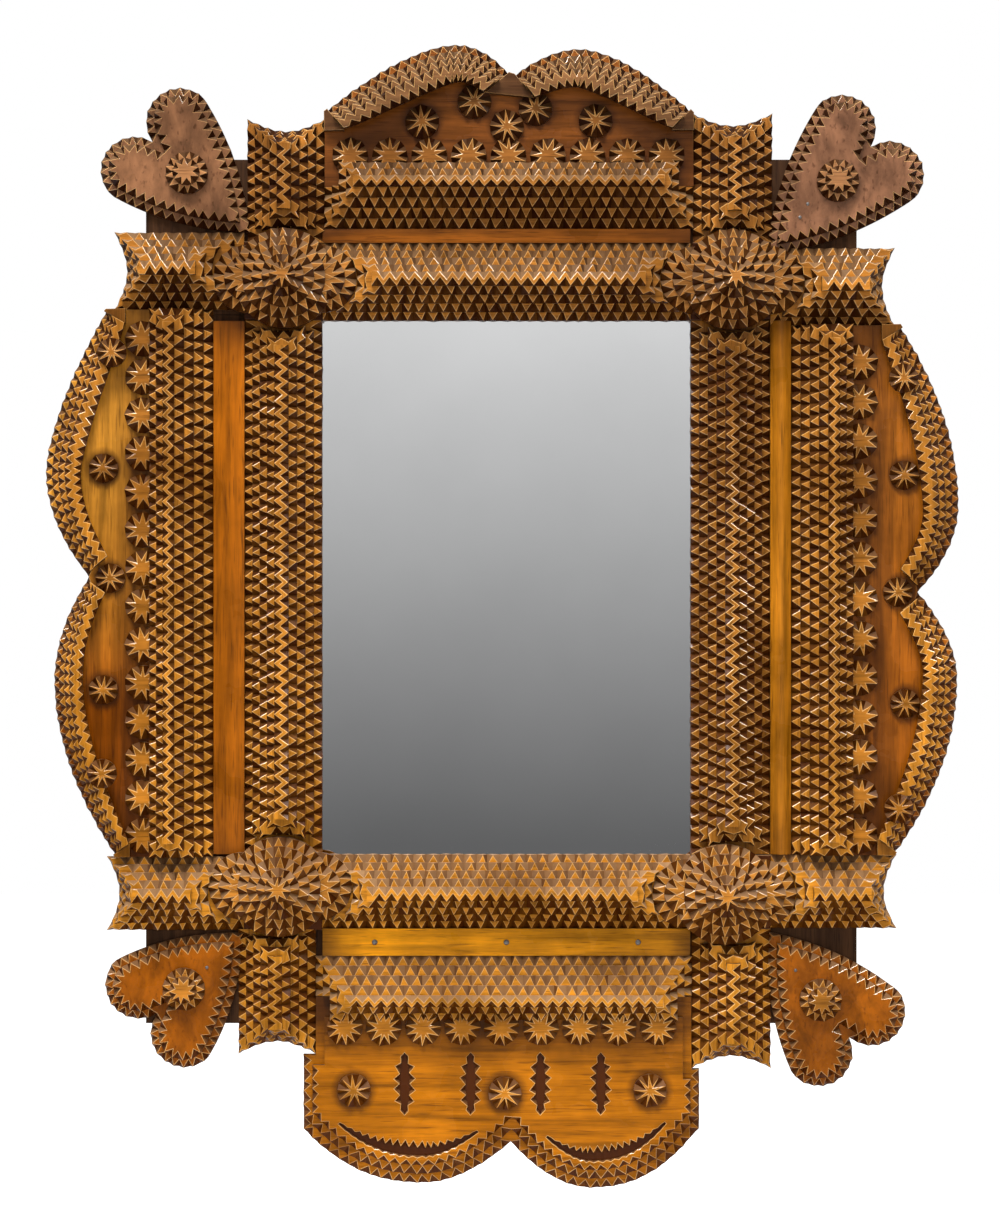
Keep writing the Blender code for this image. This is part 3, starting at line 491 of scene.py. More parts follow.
class Carving:
    """Collects the layers of a carved piece as flat faces, ready for the knife of the carving nodes."""

    def __init__(self):
        self.points = []
        self.cuts = []
        self.shrinks = []
        self.faces = []
        self.lifts = []
        self.stain_and_shade_values = []

    # A layer's stain share turns it to the dark notch colour; on the boss plugs and rim wedges this is painted shade.
    def add(self, place, outline, depth, lift, stain=0.0):
        """Adds one layer whose back lies at a depth and whose front is lifted from it."""
        points, cuts, *given = outline
        shrinks = given[0] if given else shrink_of([point + cut for point, cut in zip(points, cuts)])
        at = [place(point.x, point.y, depth) for point in points]

        def world(moves):
            return [place(point.x + move.x, point.y + move.y, depth) - spot
                    for point, move, spot in zip(points, moves, at)]

        start = len(self.points)
        self.points += at
        self.cuts += world(cuts)
        self.shrinks += world(shrinks)
        face = list(range(start, start + len(at)))
        facing = sum(a.z * b.x - a.x * b.z for a, b in zip(at, at[1:] + at[:1]))
        self.faces.append(face if facing < 0 else face[::-1])
        self.lifts.append(lift)
        self.stain_and_shade_values.append(stain)

    def add_stack(self, place, outlines, base, lift=LAYER):
        """Adds layers one on another."""
        for index, outline in enumerate(outlines):
            self.add(place, outline, base + index * lift, lift)

    def mesh(self, name):
        """The layers as a mesh that carries what the knife needs."""
        data = bpy.data.meshes.new(name)
        data.from_pydata(self.points, [], self.faces)
        for label, kind, domain, values in (
                ("cut", "FLOAT_VECTOR", "POINT", self.cuts), ("shrink", "FLOAT_VECTOR", "POINT", self.shrinks),
                ("lift", "FLOAT", "FACE", self.lifts), ("stain", "FLOAT", "FACE", self.stain_and_shade_values)):
            layer = data.attributes.new(label, kind, domain)
            if kind == "FLOAT":
                layer.data.foreach_set("value", values)
            else:
                layer.data.foreach_set("vector", [number for value in values for number in value])
        return data


class Tree:
    """Lays out the nodes of a tree and joins them."""

    def __init__(self, tree):
        self.tree = tree
        self.column = 0

    def node(self, kind, inputs=None, **settings):
        """Adds a node, sets its own settings, and fills or links its inputs."""
        made = self.tree.nodes.new(kind)
        made.location = (self.column * 180, 0)
        self.column += 1
        for label, value in settings.items():
            setattr(made, label, value)
        for label, value in (inputs or {}).items():
            socket = made.inputs[label]
            if isinstance(value, bpy.types.NodeSocket):
                self.tree.links.new(value, socket)
            else:
                socket.default_value = value
        return made

    def math(self, operation, first, second=0.0, clamp=False):
        """Adds a Math node and gives its output."""
        return self.node("ShaderNodeMath", {0: first, 1: second}, operation=operation, use_clamp=clamp).outputs[0]

    def vector(self, operation, first, second):
        """Adds a Vector Math node and gives its vector."""
        made = self.node("ShaderNodeVectorMath", {0: first}, operation=operation)
        socket = made.inputs["Scale"] if operation == "SCALE" else made.inputs[1]
        if isinstance(second, bpy.types.NodeSocket):
            self.tree.links.new(second, socket)
        else:
            socket.default_value = second
        return made.outputs[0]


def nodes_tree(name, inputs):
    """A geometry tree with named inputs, given with its first and last nodes."""
    tree = bpy.data.node_groups.new(name, "GeometryNodeTree")
    tree.interface.new_socket("Geometry", in_out="INPUT", socket_type="NodeSocketGeometry")
    for label, kind, default in inputs:
        socket = tree.interface.new_socket(label, in_out="INPUT", socket_type=kind)
        if default is not None:
            socket.default_value = default
    tree.interface.new_socket("Geometry", in_out="OUTPUT", socket_type="NodeSocketGeometry")
    build = Tree(tree)
    return build, build.node("NodeGroupInput").outputs


def close_tree(build, geometry, material):
    """Ends a geometry tree with plain faces in one material."""
    real = build.node("GeometryNodeRealizeInstances", {"Geometry": geometry}).outputs["Geometry"]
    dressed = build.node("GeometryNodeSetMaterial", {"Geometry": real, "Material": material})
    build.node("NodeGroupOutput", {"Geometry": dressed.outputs["Geometry"]})
    return build.tree


def chip_carving_tree():
    """Lifts each flat layer off the one below, cuts its notches and rubs its upper edges."""
    build, given = nodes_tree("Chip Carving", (
        ("Notch Scale", "NodeSocketFloat", 1.0), ("Worn Edge", "NodeSocketFloat", 0.0004),
        ("Worn Drop", "NodeSocketFloat", 0.0002), ("Unevenness", "NodeSocketFloat", 0.0003),
        ("Seed", "NodeSocketInt", 7), ("Material", "NodeSocketMaterial", None)))

    def attribute(label, kind):
        return build.node("GeometryNodeInputNamedAttribute", {"Name": label}, data_type=kind).outputs["Attribute"]

    def toward_viewer(distance):
        back = build.math("MULTIPLY", distance, -1.0)
        return build.node("ShaderNodeCombineXYZ", {"Y": back}).outputs[0]

    body_lift = build.math("SUBTRACT", attribute("lift", "FLOAT"), given["Worn Drop"])
    raised = build.node("GeometryNodeExtrudeMesh", {
        "Mesh": given["Geometry"], "Offset": toward_viewer(body_lift), "Offset Scale": 1.0, "Individual": True,
    }, mode="FACES").outputs
    soaked = build.node("FunctionNodeRandomValue", {2: 0.85, 3: 1.0, "Seed": given["Seed"]},
                        data_type="FLOAT").outputs[1]
    cut_faces = build.node("GeometryNodeStoreNamedAttribute", {
        "Geometry": raised["Mesh"], "Name": "facet", "Value": build.math("MULTIPLY", soaked, raised["Side"]),
    }, data_type="FLOAT", domain="FACE").outputs["Geometry"]
    stray = build.node("FunctionNodeRandomValue", {
        0: (-1.0, 0.0, -1.0), 1: (1.0, 0.0, 1.0), "Seed": given["Seed"],
    }, data_type="FLOAT_VECTOR").outputs[0]
    knife = build.vector("SCALE", attribute("cut", "FLOAT_VECTOR"), given["Notch Scale"])
    hand = build.vector("SCALE", stray, given["Unevenness"])
    notched_mesh = build.node("GeometryNodeSetPosition", {
        "Geometry": cut_faces, "Selection": raised["Top"], "Offset": build.vector("ADD", knife, hand),
    }).outputs["Geometry"]
    capped = build.node("GeometryNodeExtrudeMesh", {
        "Mesh": notched_mesh, "Selection": raised["Top"], "Offset": toward_viewer(given["Worn Drop"]),
        "Offset Scale": 1.0, "Individual": True,
    }, mode="FACES").outputs
    rubbed = build.node("GeometryNodeStoreNamedAttribute", {
        "Geometry": capped["Mesh"], "Name": "worn", "Value": capped["Side"],
    }, data_type="FLOAT", domain="FACE").outputs["Geometry"]
    narrowed = build.node("GeometryNodeSetPosition", {
        "Geometry": rubbed, "Selection": capped["Top"],
        "Offset": build.vector("SCALE", attribute("shrink", "FLOAT_VECTOR"), given["Worn Edge"]),
    }).outputs["Geometry"]
    faceted = build.node("GeometryNodeTriangulate", {"Mesh": narrowed}).outputs["Mesh"]
    backs = build.node("GeometryNodeFlipFaces", {"Mesh": given["Geometry"]}).outputs["Mesh"]
    joined = build.node("GeometryNodeJoinGeometry", {"Geometry": faceted})
    build.tree.links.new(backs, joined.inputs["Geometry"])
    closed = build.node("GeometryNodeMergeByDistance", {"Geometry": joined.outputs["Geometry"], "Distance": 1e-6})
    return close_tree(build, closed.outputs["Geometry"], given["Material"])


def scatter_tree():
    """Sets a copy of one shape on every point, sized by the point and turned at random."""
    build, given = nodes_tree("Set On Points", (
        ("Shape", "NodeSocketObject", None), ("Turn", "NodeSocketFloat", 6.283), ("Seed", "NodeSocketInt", 7),
        ("Material", "NodeSocketMaterial", None)))
    shape = build.node("GeometryNodeObjectInfo", {"Object": given["Shape"]}).outputs["Geometry"]
    size = build.node("GeometryNodeInputNamedAttribute", {"Name": "size"}, data_type="FLOAT_VECTOR")
    angle = build.node("FunctionNodeRandomValue", {2: 0.0, 3: given["Turn"], "Seed": given["Seed"]},
                       data_type="FLOAT").outputs[1]
    turn = build.node("ShaderNodeCombineXYZ", {"Y": angle}).outputs[0]
    copies = build.node("GeometryNodeInstanceOnPoints", {
        "Points": given["Geometry"], "Instance": shape, "Rotation": turn, "Scale": size.outputs["Attribute"]})
    return close_tree(build, copies.outputs["Instances"], given["Material"])


def tree_named(name, maker):
    """A node tree by name, made the first time that it is asked for."""
    return bpy.data.node_groups.get(name) or maker()


def run_nodes(item, tree, values):
    """Runs a geometry tree on an object and keeps its result as a plain mesh."""
    modifier = item.modifiers.new(tree.name, "NODES")
    modifier.node_group = tree
    for socket in tree.interface.items_tree:
        if socket.in_out == "INPUT" and socket.name in values:
            modifier[socket.identifier] = values[socket.name]
    item.update_tag()
    graph = bpy.context.evaluated_depsgraph_get()
    made = bpy.data.meshes.new_from_object(item.evaluated_get(graph), preserve_all_data_layers=True,
                                           depsgraph=graph)
    item.modifiers.clear()
    before = item.data
    item.data = made
    bpy.data.meshes.remove(before)
    made.name = item.name
    if not made.polygons:
        raise RuntimeError(item.name + " came out of its nodes empty")
    for label in ("cut", "shrink", "lift", "size"):
        layer = made.attributes.get(label)
        if layer is not None:
            made.attributes.remove(layer)
    return item


def link(name, data):
    """A new object in the scene at the origin."""
    item = bpy.data.objects.new(name, data)
    bpy.context.scene.collection.objects.link(item)
    return item


def carve(name, carving, material, **changes):
    """Turns collected layers into a carved piece."""
    sizes = bpy.context.scene.mirror_carving
    values = {"Notch Scale": 1.0, "Worn Edge": sizes.wear_width, "Worn Drop": sizes.wear_drop,
              "Unevenness": sizes.unevenness, "Seed": sizes.seed, "Material": material}
    values.update(changes)
    return run_nodes(link(name, carving.mesh(name)), tree_named("Chip Carving", chip_carving_tree), values)


def settle(item, slot, *nodes, body="frame"):
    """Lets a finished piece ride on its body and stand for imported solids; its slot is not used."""
    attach(item, body)
    if nodes:
        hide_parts(*nodes)
    return item




BOSS_GAP = 0.0015
SEGMENT = 0.003


def segments(width):
    """How many short straight lines make a curve across a layer."""
    return max(2, round(abs(width) / SEGMENT))


def boss_ends(half, is_level):
    """How far each layer of a moulding or arm stops short of the boss's middle."""
    ends = [half + SEAT_GAP, BOSS_RADII[0] + BOSS_CLEARANCE]
    beyond = LUNETTE_REACHES[0] + BOSS_CLEARANCE if is_level else BOSS_RADII[0] + BOSS_GAP
    while len(ends) < LAYER_COUNT:
        ends.append(beyond)
        beyond += HIP_STEP
    return ends


def boss_end(near, far, layer, reach, is_level):
    """The end of a layer beside a boss: distances from the boss's middle and places across the layer.

    The upper layers run round the boss or its lunette."""
    if layer < 2:
        return [(reach, near), (reach, far)]
    middle = LUNETTE_MIDDLE if is_level else 0.0
    count = segments(far - near)
    places = [near + (far - near) * step / count for step in range(count + 1)]
    return [(middle + math.sqrt((reach - middle) ** 2 - (place - (near + far) / 2) ** 2), place) for place in places]


def boss_drift(side, other):
    """How far the boss where two sides meet strays outwards along the first of them."""
    names = (side.name + "_" + other.name, other.name + "_" + side.name)
    corner = next(corner for corner in CORNERS if corner.name in names)
    return corner.boss_drift[0 if side in (TOP, BOTTOM) else 1]


def inner_step(width):
    """How far each layer of an inner moulding or arm steps in, so that the top layer is one ribbon wide."""
    return (width - INNER_RIBBON) / 2 / (LAYER_COUNT - 1)


def staggered_pitch(length, pitch, layer):
    """The pitch nearest to a given one that sets a layer's notches between those of the layer below."""
    count = round(length / pitch)
    return length / (count + (count + layer) % 2)


def band_layer(low_end, high_end, layer, plain_ends=False, plain_far=False):
    """One layer of a moulding between two ends; the top one is a ribbon whose notches meet in a zigzag."""
    sizes = bpy.context.scene.mirror_carving
    pitch = staggered_pitch(high_end[0][0] - low_end[0][0], sizes.pitch, layer)
    is_ribbon = layer == LAYER_COUNT - 1
    notch = sizes.ribbon_share * (high_end[-1][1] - high_end[0][1]) if is_ribbon else sizes.notch_depth
    end_notch = 0.0 if plain_ends or is_ribbon else sizes.notch_depth
    far_notch = 0.0 if plain_far else notch
    stray = RIBBON_STRAY if is_ribbon else STRAY
    return notched((
        Run([low_end[0], high_end[0]], notch, pitch, stray=stray),
        Run(high_end, end_notch, sizes.pitch),
        Run([high_end[-1], low_end[-1]], far_notch, pitch, phase=1 if is_ribbon else 0, stray=stray),
        Run(low_end[::-1], end_notch, sizes.pitch)))


def inner_moulding_layers(side):
    """The five layers of an inner moulding, hipped back from the bosses."""
    is_level = side in (TOP, BOTTOM)
    high_side, low_side = (RIGHT, LEFT) if is_level else (TOP, BOTTOM)
    high_middle = side.half_length + high_side.inner / 2
    low_middle = side.half_length + low_side.inner / 2
    high_reaches = boss_ends(high_side.inner / 2, is_level)
    low_reaches = boss_ends(low_side.inner / 2, is_level)
    step = inner_step(side.inner)
    made = []
    for layer in range(LAYER_COUNT):
        near, far = side.sight + layer * step, side.inner_edge - layer * step
        high_drift, low_drift = (boss_drift(side, other) if layer else 0.0 for other in (high_side, low_side))
        high_end = [(high_middle + high_drift - away, place)
                    for away, place in boss_end(near, far, layer, high_reaches[layer], is_level)]
        low_end = [(away - low_middle - low_drift, place)
                   for away, place in boss_end(near, far, layer, low_reaches[layer], is_level)]
        made.append(band_layer(low_end, high_end, layer, plain_ends=layer == 0))
    return made


def outer_moulding_layers(side):
    """The five layers of an outer moulding, whose upper three lap over the panel and its row of rosettes."""
    beside_panel = side.edge - PANEL_LAP - SEAT_GAP
    back_rows = LAYER_COUNT - 1 - BESIDE_PANEL_LAYERS
    slope = side.edge - side.fillet_edge - OUTER_RIBBON - back_rows * OUTER_BACK_STEP
    step = slope / (LAYER_COUNT - 1)
    square_layers = BESIDE_PANEL_LAYERS if side in (LEFT, RIGHT) else 0
    made = []
    for layer in range(LAYER_COUNT):
        lapped = layer >= BESIDE_PANEL_LAYERS
        far = side.edge - (layer - BESIDE_PANEL_LAYERS) * OUTER_BACK_STEP if lapped else beside_panel
        hip = max(0, layer - square_layers) * HIP_STEP
        low, high = hip - side.low_end, side.high_end - hip
        near = side.fillet_edge + layer * step
        made.append(band_layer([(low, near), (low, far)], [(high, near), (high, far)], layer, plain_far=not lapped))
    return made


TAIL_NOTCH = 0.0034


def fishtail(near, far, half_wide, end):
    """The hollow end of an arm's layer, from one side to the other along the curve of the whole arm."""
    count = segments(far - near)
    places = [near + (far - near) * step / count for step in range(count + 1)]
    return [(place, end - FISHTAIL_DEPTH * math.cos(math.pi * place / (2 * half_wide))) for place in places]


def arm_layers(corner, is_upright):
    """The five layers of an arm, from the boss out to its fishtail end."""
    sizes = bpy.context.scene.mirror_carving
    half_wide = corner.half_across if is_upright else corner.half_up
    half_run = corner.half_up if is_upright else corner.half_across
    length = corner.up_end if is_upright else corner.out_end
    starts = boss_ends(half_run, not is_upright)
    step = inner_step(2 * half_wide)
    made = []
    for layer in range(LAYER_COUNT):
        near, far = -half_wide + layer * step, half_wide - layer * step
        is_ribbon = layer == LAYER_COUNT - 1
        notch = sizes.ribbon_share * (far - near) if is_ribbon else sizes.notch_depth
        drift = corner.boss_drift[1 if is_upright else 0] if layer else 0.0
        start = [(place, away + drift) for away, place in boss_end(near, far, layer, starts[layer], not is_upright)]
        tail = fishtail(far, near, half_wide, length - layer * ARM_END_STEP)
        stray = RIBBON_STRAY if is_ribbon else STRAY
        made.append(notched((
            Run(start, 0.0 if layer == 0 or is_ribbon else sizes.notch_depth, sizes.pitch),
            Run([start[-1], tail[0]], notch, sizes.pitch, stray=stray),
            Run(tail, 0.0 if is_ribbon else TAIL_NOTCH, sizes.pitch),
            Run([tail[-1], start[0]], notch, sizes.pitch, phase=1 if is_ribbon else 0, stray=stray))))
    return made


RING_POINTS = 72


def circle(middle, radius, count=RING_POINTS):
    """Points round a circle."""
    turns = [2 * math.pi * index / count for index in range(count)]
    return [(middle[0] + radius * math.cos(turn), middle[1] + radius * math.sin(turn)) for turn in turns]


BOSS_NOTCH = 0.0062
LUNETTE_DROP = 0.0004
STAR_SHARE = 0.62


def carve_boss(carving, corner):
    """Two lunettes on either side and a dome of shrinking discs, with a star on top."""
    sizes = bpy.context.scene.mirror_carving
    base = CARVING_BASE + 2 * LAYER + SEAT_GAP
    across, up = corner.half_across, corner.half_up
    # The plug is stained fully dark as painted shade in the gaps round the boss.
    plug = [Vector(point) for point in ((across, up), (-across, up), (-across, -up), (across, -up))]
    carving.add(corner.place, (plug, [STILL] * len(plug)), CARVING_BASE, base - CARVING_BASE, stain=1.0)
    for layer, reach in enumerate(LUNETTE_REACHES):
        for way in (-1, 1):
            radius = reach - LUNETTE_MIDDLE
            edge = circle((way * LUNETTE_MIDDLE, 0.0), radius)
            count = round(2 * math.pi * radius / sizes.pitch)
            outline = notched_ring(edge, count, min(sizes.notch_depth, radius / 2))
            carving.add(corner.on_boss, outline, base + layer * LAYER - LUNETTE_DROP, LAYER)
    for layer, radius in enumerate(BOSS_RADII):
        count = max(8, round(2 * math.pi * radius / sizes.round_pitch))
        notch = min(BOSS_NOTCH, STAR_SHARE * radius)
        outline = notched_ring(circle((0.0, 0.0), radius), count, notch)
        carving.add(corner.on_boss, outline, base + layer * LAYER, LAYER)


HEART_SIDE_SEGMENTS = 14
HEART_ARC_SEGMENTS = 18
HEART_NOTCH = 0.0042


def heart_half(length):
    """One half of a heart's edge, from its tip round one lobe to the cleft."""
    centre_a = length - HEART_LOBE_RADIUS
    centre_b = HEART_LOBE_RADIUS - HEART_LOBE_OVERLAP
    shoulder = Vector((length * HEART_SHOULDER_SHARE, HEART_SHOULDER))
    side_end = Vector((centre_a, centre_b + HEART_LOBE_RADIUS))
    cleft_turn = -math.asin(centre_b / HEART_LOBE_RADIUS)
    half = []
    for step in range(HEART_SIDE_SEGMENTS):
        share = step / HEART_SIDE_SEGMENTS
        half.append(shoulder * 2 * share * (1 - share) + side_end * share ** 2)
    for step in range(HEART_ARC_SEGMENTS + 1):
        turn = math.pi / 2 + (cleft_turn - math.pi / 2) * step / HEART_ARC_SEGMENTS
        half.append(Vector((centre_a + HEART_LOBE_RADIUS * math.cos(turn),
                            centre_b + HEART_LOBE_RADIUS * math.sin(turn))))
    half[-1].y = 0.0
    return half


def heart_layer(length, inset):
    """A heart-shaped layer, set in from the largest one and notched all round."""
    sizes = bpy.context.scene.mirror_carving
    half = heart_half(length)
    other = [Vector((point.x, -point.y)) for point in reversed(half)]
    outline = half + other[1:-1]
    moved = [point + move * inset for point, move in zip(outline, shrink_of(outline))]
    cleft = len(half)
    return notched((
        Run(moved[:cleft], HEART_NOTCH, sizes.heart_pitch),
        Run(moved[cleft - 1:] + moved[:1], HEART_NOTCH, sizes.heart_pitch)))


def carve_heart(carving, corner):
    """A heart of two layers."""
    for layer in range(2):
        outline = heart_layer(corner.heart_length, layer * HEART_INSET)
        carving.add(corner.on_heart, outline, CARVING_BASE + layer * LAYER, LAYER)


HEART_ROSETTE_NOTCHES = (0.6, 0.75)


def carve_heart_rosette(carving, corner):
    """A rosette of two tiers on a heart."""
    base = CARVING_BASE + 2 * LAYER + SEAT_GAP
    for tier in range(2):
        radius = HEART_ROSETTE_RADIUS - tier * HEART_ROSETTE_STEP
        count = 13 - 4 * tier
        notch = STAR_SHARE * radius * HEART_ROSETTE_NOTCHES[tier]
        outline = notched_ring(circle((corner.heart_rosette_out, 0.0), radius), count, notch)
        carving.add(corner.on_heart, outline, base + tier * LAYER, LAYER)


LOBE_SEGMENTS = 24
PANEL_NOTCH = 0.0044


def scallop_runs(side, notch, pitch):
    """The scalloped edge of a panel as notched runs, one to a lobe."""
    runs = []
    for lobe in LOBES[side.name]:
        edge = [(u, lobe.height(u)) for u in lobe.samples(LOBE_SEGMENTS)]
        runs.append(Run(edge, notch, pitch))
    return runs


def panel_layer(side):
    """The scalloped board of a side, tucked under its outer moulding."""
    sizes = bpy.context.scene.mirror_carving
    runs = scallop_runs(side, PANEL_NOTCH, sizes.rim_pitch)
    tuck = side.edge - PANEL_LAP
    first, last = runs[0].points[0], runs[-1].points[-1]
    return notched(runs + [Run([last, (-side.low_end, tuck), (side.high_end, tuck), first])])


RIM_RECESS = 0.0035
RIM_BAND = 0.0022
RIM_ROWS = 3
RIM_HEIGHTS = {"left": 2 * LAYER, "right": 2 * LAYER, "top": 3 * LAYER}
EDGE_SAMPLES = 160
SLOPE_STEP = 1e-4


def stations(lobe, trims, pitch):
    """Places two to a pitch along a lobe, from short of its first foot to short of its last.

    Each is given with the way inwards and its share of the way along."""
    start, stop = lobe.first_foot[0], lobe.last_foot[0]
    way = math.copysign(1.0, stop - start)
    start, stop = start + way * trims[0], stop - way * trims[1]
    samples = [start + (stop - start) * step / EDGE_SAMPLES for step in range(EDGE_SAMPLES + 1)]
    edge = [(u, lobe.height(u)) for u in samples]
    count = 2 * round(length_of(edge) / pitch)
    made = []
    for index, point in enumerate(spread(edge, [index / count for index in range(count + 1)])):
        rise = lobe.height(point.x + SLOPE_STEP) - lobe.height(point.x - SLOPE_STEP)
        made.append((point, Vector((rise, -2 * SLOPE_STEP)).normalized(), index / count))
    return made


def swell(share):
    """How full a crescent is at a share of the way from the arm to the notch between lobes."""
    least = RIM_ARM_SHARE + (RIM_NOTCH_SHARE - RIM_ARM_SHARE) * share
    return least + (1 - least) * max(0.0, math.sin(math.pi * share)) ** RIM_SWELL_POWER


def rim_layers(side, lobe):
    """The stepped crescents on one lobe; the top one is a ribbon that overhangs the field."""
    sizes = bpy.context.scene.mirror_carving
    total = RIM_ROWS * RIM_STEP + RIBBON_WIDTH
    is_high = lobe is LOBES[side.name][0]
    made = []
    for row in range(1, RIM_ROWS + 1):
        is_ribbon = row == RIM_ROWS
        outer, inner, outer_cuts, inner_cuts = [], [], [], []
        for index, (point, inward, share) in enumerate(stations(lobe, RIM_TRIMS, sizes.rim_pitch)):
            fullness = swell(share if is_high else 1 - share) * RIM_SHARES[side.name][0 if is_high else 1]
            near = row * RIM_STEP * fullness
            far = (total if is_ribbon else total - RIM_RECESS) * fullness
            depth = sizes.ribbon_share * max(0.0, far - near - RIM_BAND) if is_ribbon else RIM_STEP * fullness
            outer.append(point + inward * near)
            inner.append(point + inward * far)
            outer_cuts.append(inward * depth if index % 2 else STILL)
            inner_cuts.append(-inward * depth if is_ribbon and not index % 2 and 0 < share < 1 else STILL)
        made.append((outer + inner[::-1], outer_cuts + inner_cuts[::-1]))
    return made


def rim_wedges(side, lobe):
    """Plain wedges that fill out a crescent's ends: to the arm, and at the top also under the notch."""
    pitch = bpy.context.scene.mirror_carving.rim_pitch
    total = RIM_ROWS * RIM_STEP + RIBBON_WIDTH
    is_high = lobe is LOBES[side.name][0]
    high, low = (stations(other, RIM_TRIMS, pitch) for other in LOBES[side.name])
    point, inward, _ = high[0] if is_high else low[-1]
    foot = Vector(lobe.first_foot if is_high else lobe.last_foot)
    tip = point + inward * total * RIM_ARM_SHARE * RIM_SHARES[side.name][0 if is_high else 1]
    made = [[point, tip, Vector((foot.x, tip.y)), foot]]
    if side is TOP and is_high:
        (first, first_in, _), (last, last_in, _) = high[-1], low[0]
        reach = total * RIM_NOTCH_SHARE
        made.append([first, first + first_in * reach, last + last_in * reach, last])
    return made


def inset(points, distances):
    """Moves each edge of an outline inwards by its own distance; edge i runs from point i to the next."""
    count = len(points)
    turn = 1.0 if area_of(points) > 0 else -1.0
    normals = []
    for index in range(count):
        edge = (points[(index + 1) % count] - points[index]).normalized()
        normals.append(Vector((-edge.y, edge.x)) * turn)
    moved = []
    for index in range(count):
        first, second = normals[index - 1], normals[index]
        near, far = distances[index - 1], distances[index]
        cross = first.x * second.y - first.y * second.x
        if abs(cross) < PARALLEL:
            shift = (first * near + second * far) / 2
        else:
            shift = Vector((near * second.y - far * first.y, far * first.x - near * second.x)) / cross
        moved.append(points[index] + shift)
    return moved


class BottomOutline:
    """The bottom panel's outline, whose shoulders widen below the two arms beside it."""

    def __init__(self):
        left, right = BOTTOM.low_end, BOTTOM.high_end
        tuck = BOTTOM.edge - PANEL_LAP
        ends = [BOTTOM.inner_edge - corner.half_up + corner.up_end + SEAT_GAP for corner in CORNERS[2:]]
        high, low = LOBES["bottom"]
        edge = [Vector((u, high.height(u))) for u in high.samples(LOBE_SEGMENTS)]
        self.notch = len(edge) - 1
        edge += [Vector((u, low.height(u))) for u in low.samples(LOBE_SEGMENTS)[1:]]
        self.last = len(edge) - 1
        edge[0] += Vector((SHOULDER_RIGHT, -SHOULDER_RIGHT))
        edge[-1] += Vector((-SHOULDER_LEFT, -SHOULDER_LEFT))
        self.points = edge + [Vector(point) for point in (
            (-left - SHOULDER_LEFT, ends[0]), (-left, ends[0]), (-left, tuck),
            (right, tuck), (right, ends[1]), (right + SHOULDER_RIGHT, ends[1]))]

    def stepped(self, lobe_step, side_step):
        """The outline set in along its lobes and along its other edges."""
        return inset(self.points, [lobe_step if index < self.last else side_step
                                   for index in range(len(self.points))])

    def layer(self, points, lobe_notch, side_notch, phase=0):
        """One layer with notched lobes and sides."""
        sizes = bpy.context.scene.mirror_carving
        return notched((
            Run(points[:self.notch + 1], lobe_notch, sizes.rim_pitch, phase=phase),
            Run(points[self.notch:self.last + 1], lobe_notch, sizes.rim_pitch, phase=phase),
            Run(points[self.last:self.last + 2], side_notch, sizes.rim_pitch),
            Run(points[self.last + 1:]),
            Run([points[-1], points[0]], side_notch, sizes.rim_pitch)))


BOARD_LOBE_NOTCH = 0.0042
BOARD_SIDE_NOTCH = 0.0036


def bottom_board_layers():
    """The two toothed steps of the bottom panel."""
    outline = BottomOutline()
    return [outline.layer(outline.points, BOARD_LOBE_NOTCH, BOARD_SIDE_NOTCH),
            outline.layer(outline.stepped(PLAQUE_LOBE_STEP, SEAT_GAP), BOARD_LOBE_NOTCH, BOARD_SIDE_NOTCH)]


# The plaque's sunk leaves, given along the side and outwards, and its grooves, which follow the lobes
LEAVES = ((-0.0540, 0.2630), (-0.0190, 0.2630), (0.0180, 0.2630), (0.0500, 0.2630))
LEAF_HALF_LENGTH = 0.0165
LEAF_HALF_WIDTH = 0.0026
LEAF_NOTCH = 0.0030
LEAF_PITCH = 0.0056
LEAF_SEGMENTS = 24
GROOVE_TRIMS = (0.002, 0.008)
GROOVE_PITCH = 0.0058
GROOVE_OUT_END = 0.0060
GROOVE_OUT = 0.0074
GROOVE_HALF_WIDTH = 0.0022
GROOVE_END_WIDTH = 0.0006
GROOVE_UPPER_NOTCH = 0.0036
GROOVE_LOWER_NOTCH = 0.0010
PLAQUE_FLOOR = 0.0012
PLAQUE_RIBBON_NOTCH = 0.0030
PLAQUE_SIDE_NOTCH = 0.0030


def groove_hole(lobe):
    """A sunk curve along a lobe, serrated on both edges, with its cuts leading out of it."""
    trims = GROOVE_TRIMS if lobe is LOBES["bottom"][0] else GROOVE_TRIMS[::-1]
    upper, lower, upper_cuts, lower_cuts = [], [], [], []
    for index, (point, inward, share) in enumerate(stations(lobe, trims, GROOVE_PITCH)):
        bulge = math.sin(math.pi * share)
        away = 2 * PLAQUE_LOBE_STEP + GROOVE_OUT_END + (GROOVE_OUT - GROOVE_OUT_END) * bulge
        half = GROOVE_END_WIDTH + (GROOVE_HALF_WIDTH - GROOVE_END_WIDTH) * bulge
        upper.append(point + inward * (away + half))
        lower.append(point + inward * (away - half))
        upper_cuts.append(inward * GROOVE_UPPER_NOTCH * bulge if index % 2 else STILL)
        lower_cuts.append(-inward * GROOVE_LOWER_NOTCH * bulge if not index % 2 else STILL)
    return upper + lower[::-1], upper_cuts + lower_cuts[::-1]


def leaf_hole(middle):
    """A sunk pointed leaf with a serrated edge, with its cuts leading out of it."""
    right, left = [], []
    for step in range(LEAF_SEGMENTS + 1):
        share = step / LEAF_SEGMENTS
        half = LEAF_HALF_WIDTH * math.sin(math.pi * share) ** 0.6 if 0 < step < LEAF_SEGMENTS else 0.0
        out = middle[1] + LEAF_HALF_LENGTH * (2 * share - 1)
        right.append(Vector((middle[0] + half, out)))
        left.append(Vector((middle[0] - half, out)))
    made, cuts, _ = notched((Run(right, LEAF_NOTCH, LEAF_PITCH), Run(left[::-1], LEAF_NOTCH, LEAF_PITCH)))
    return made, [-cut for cut in cuts]


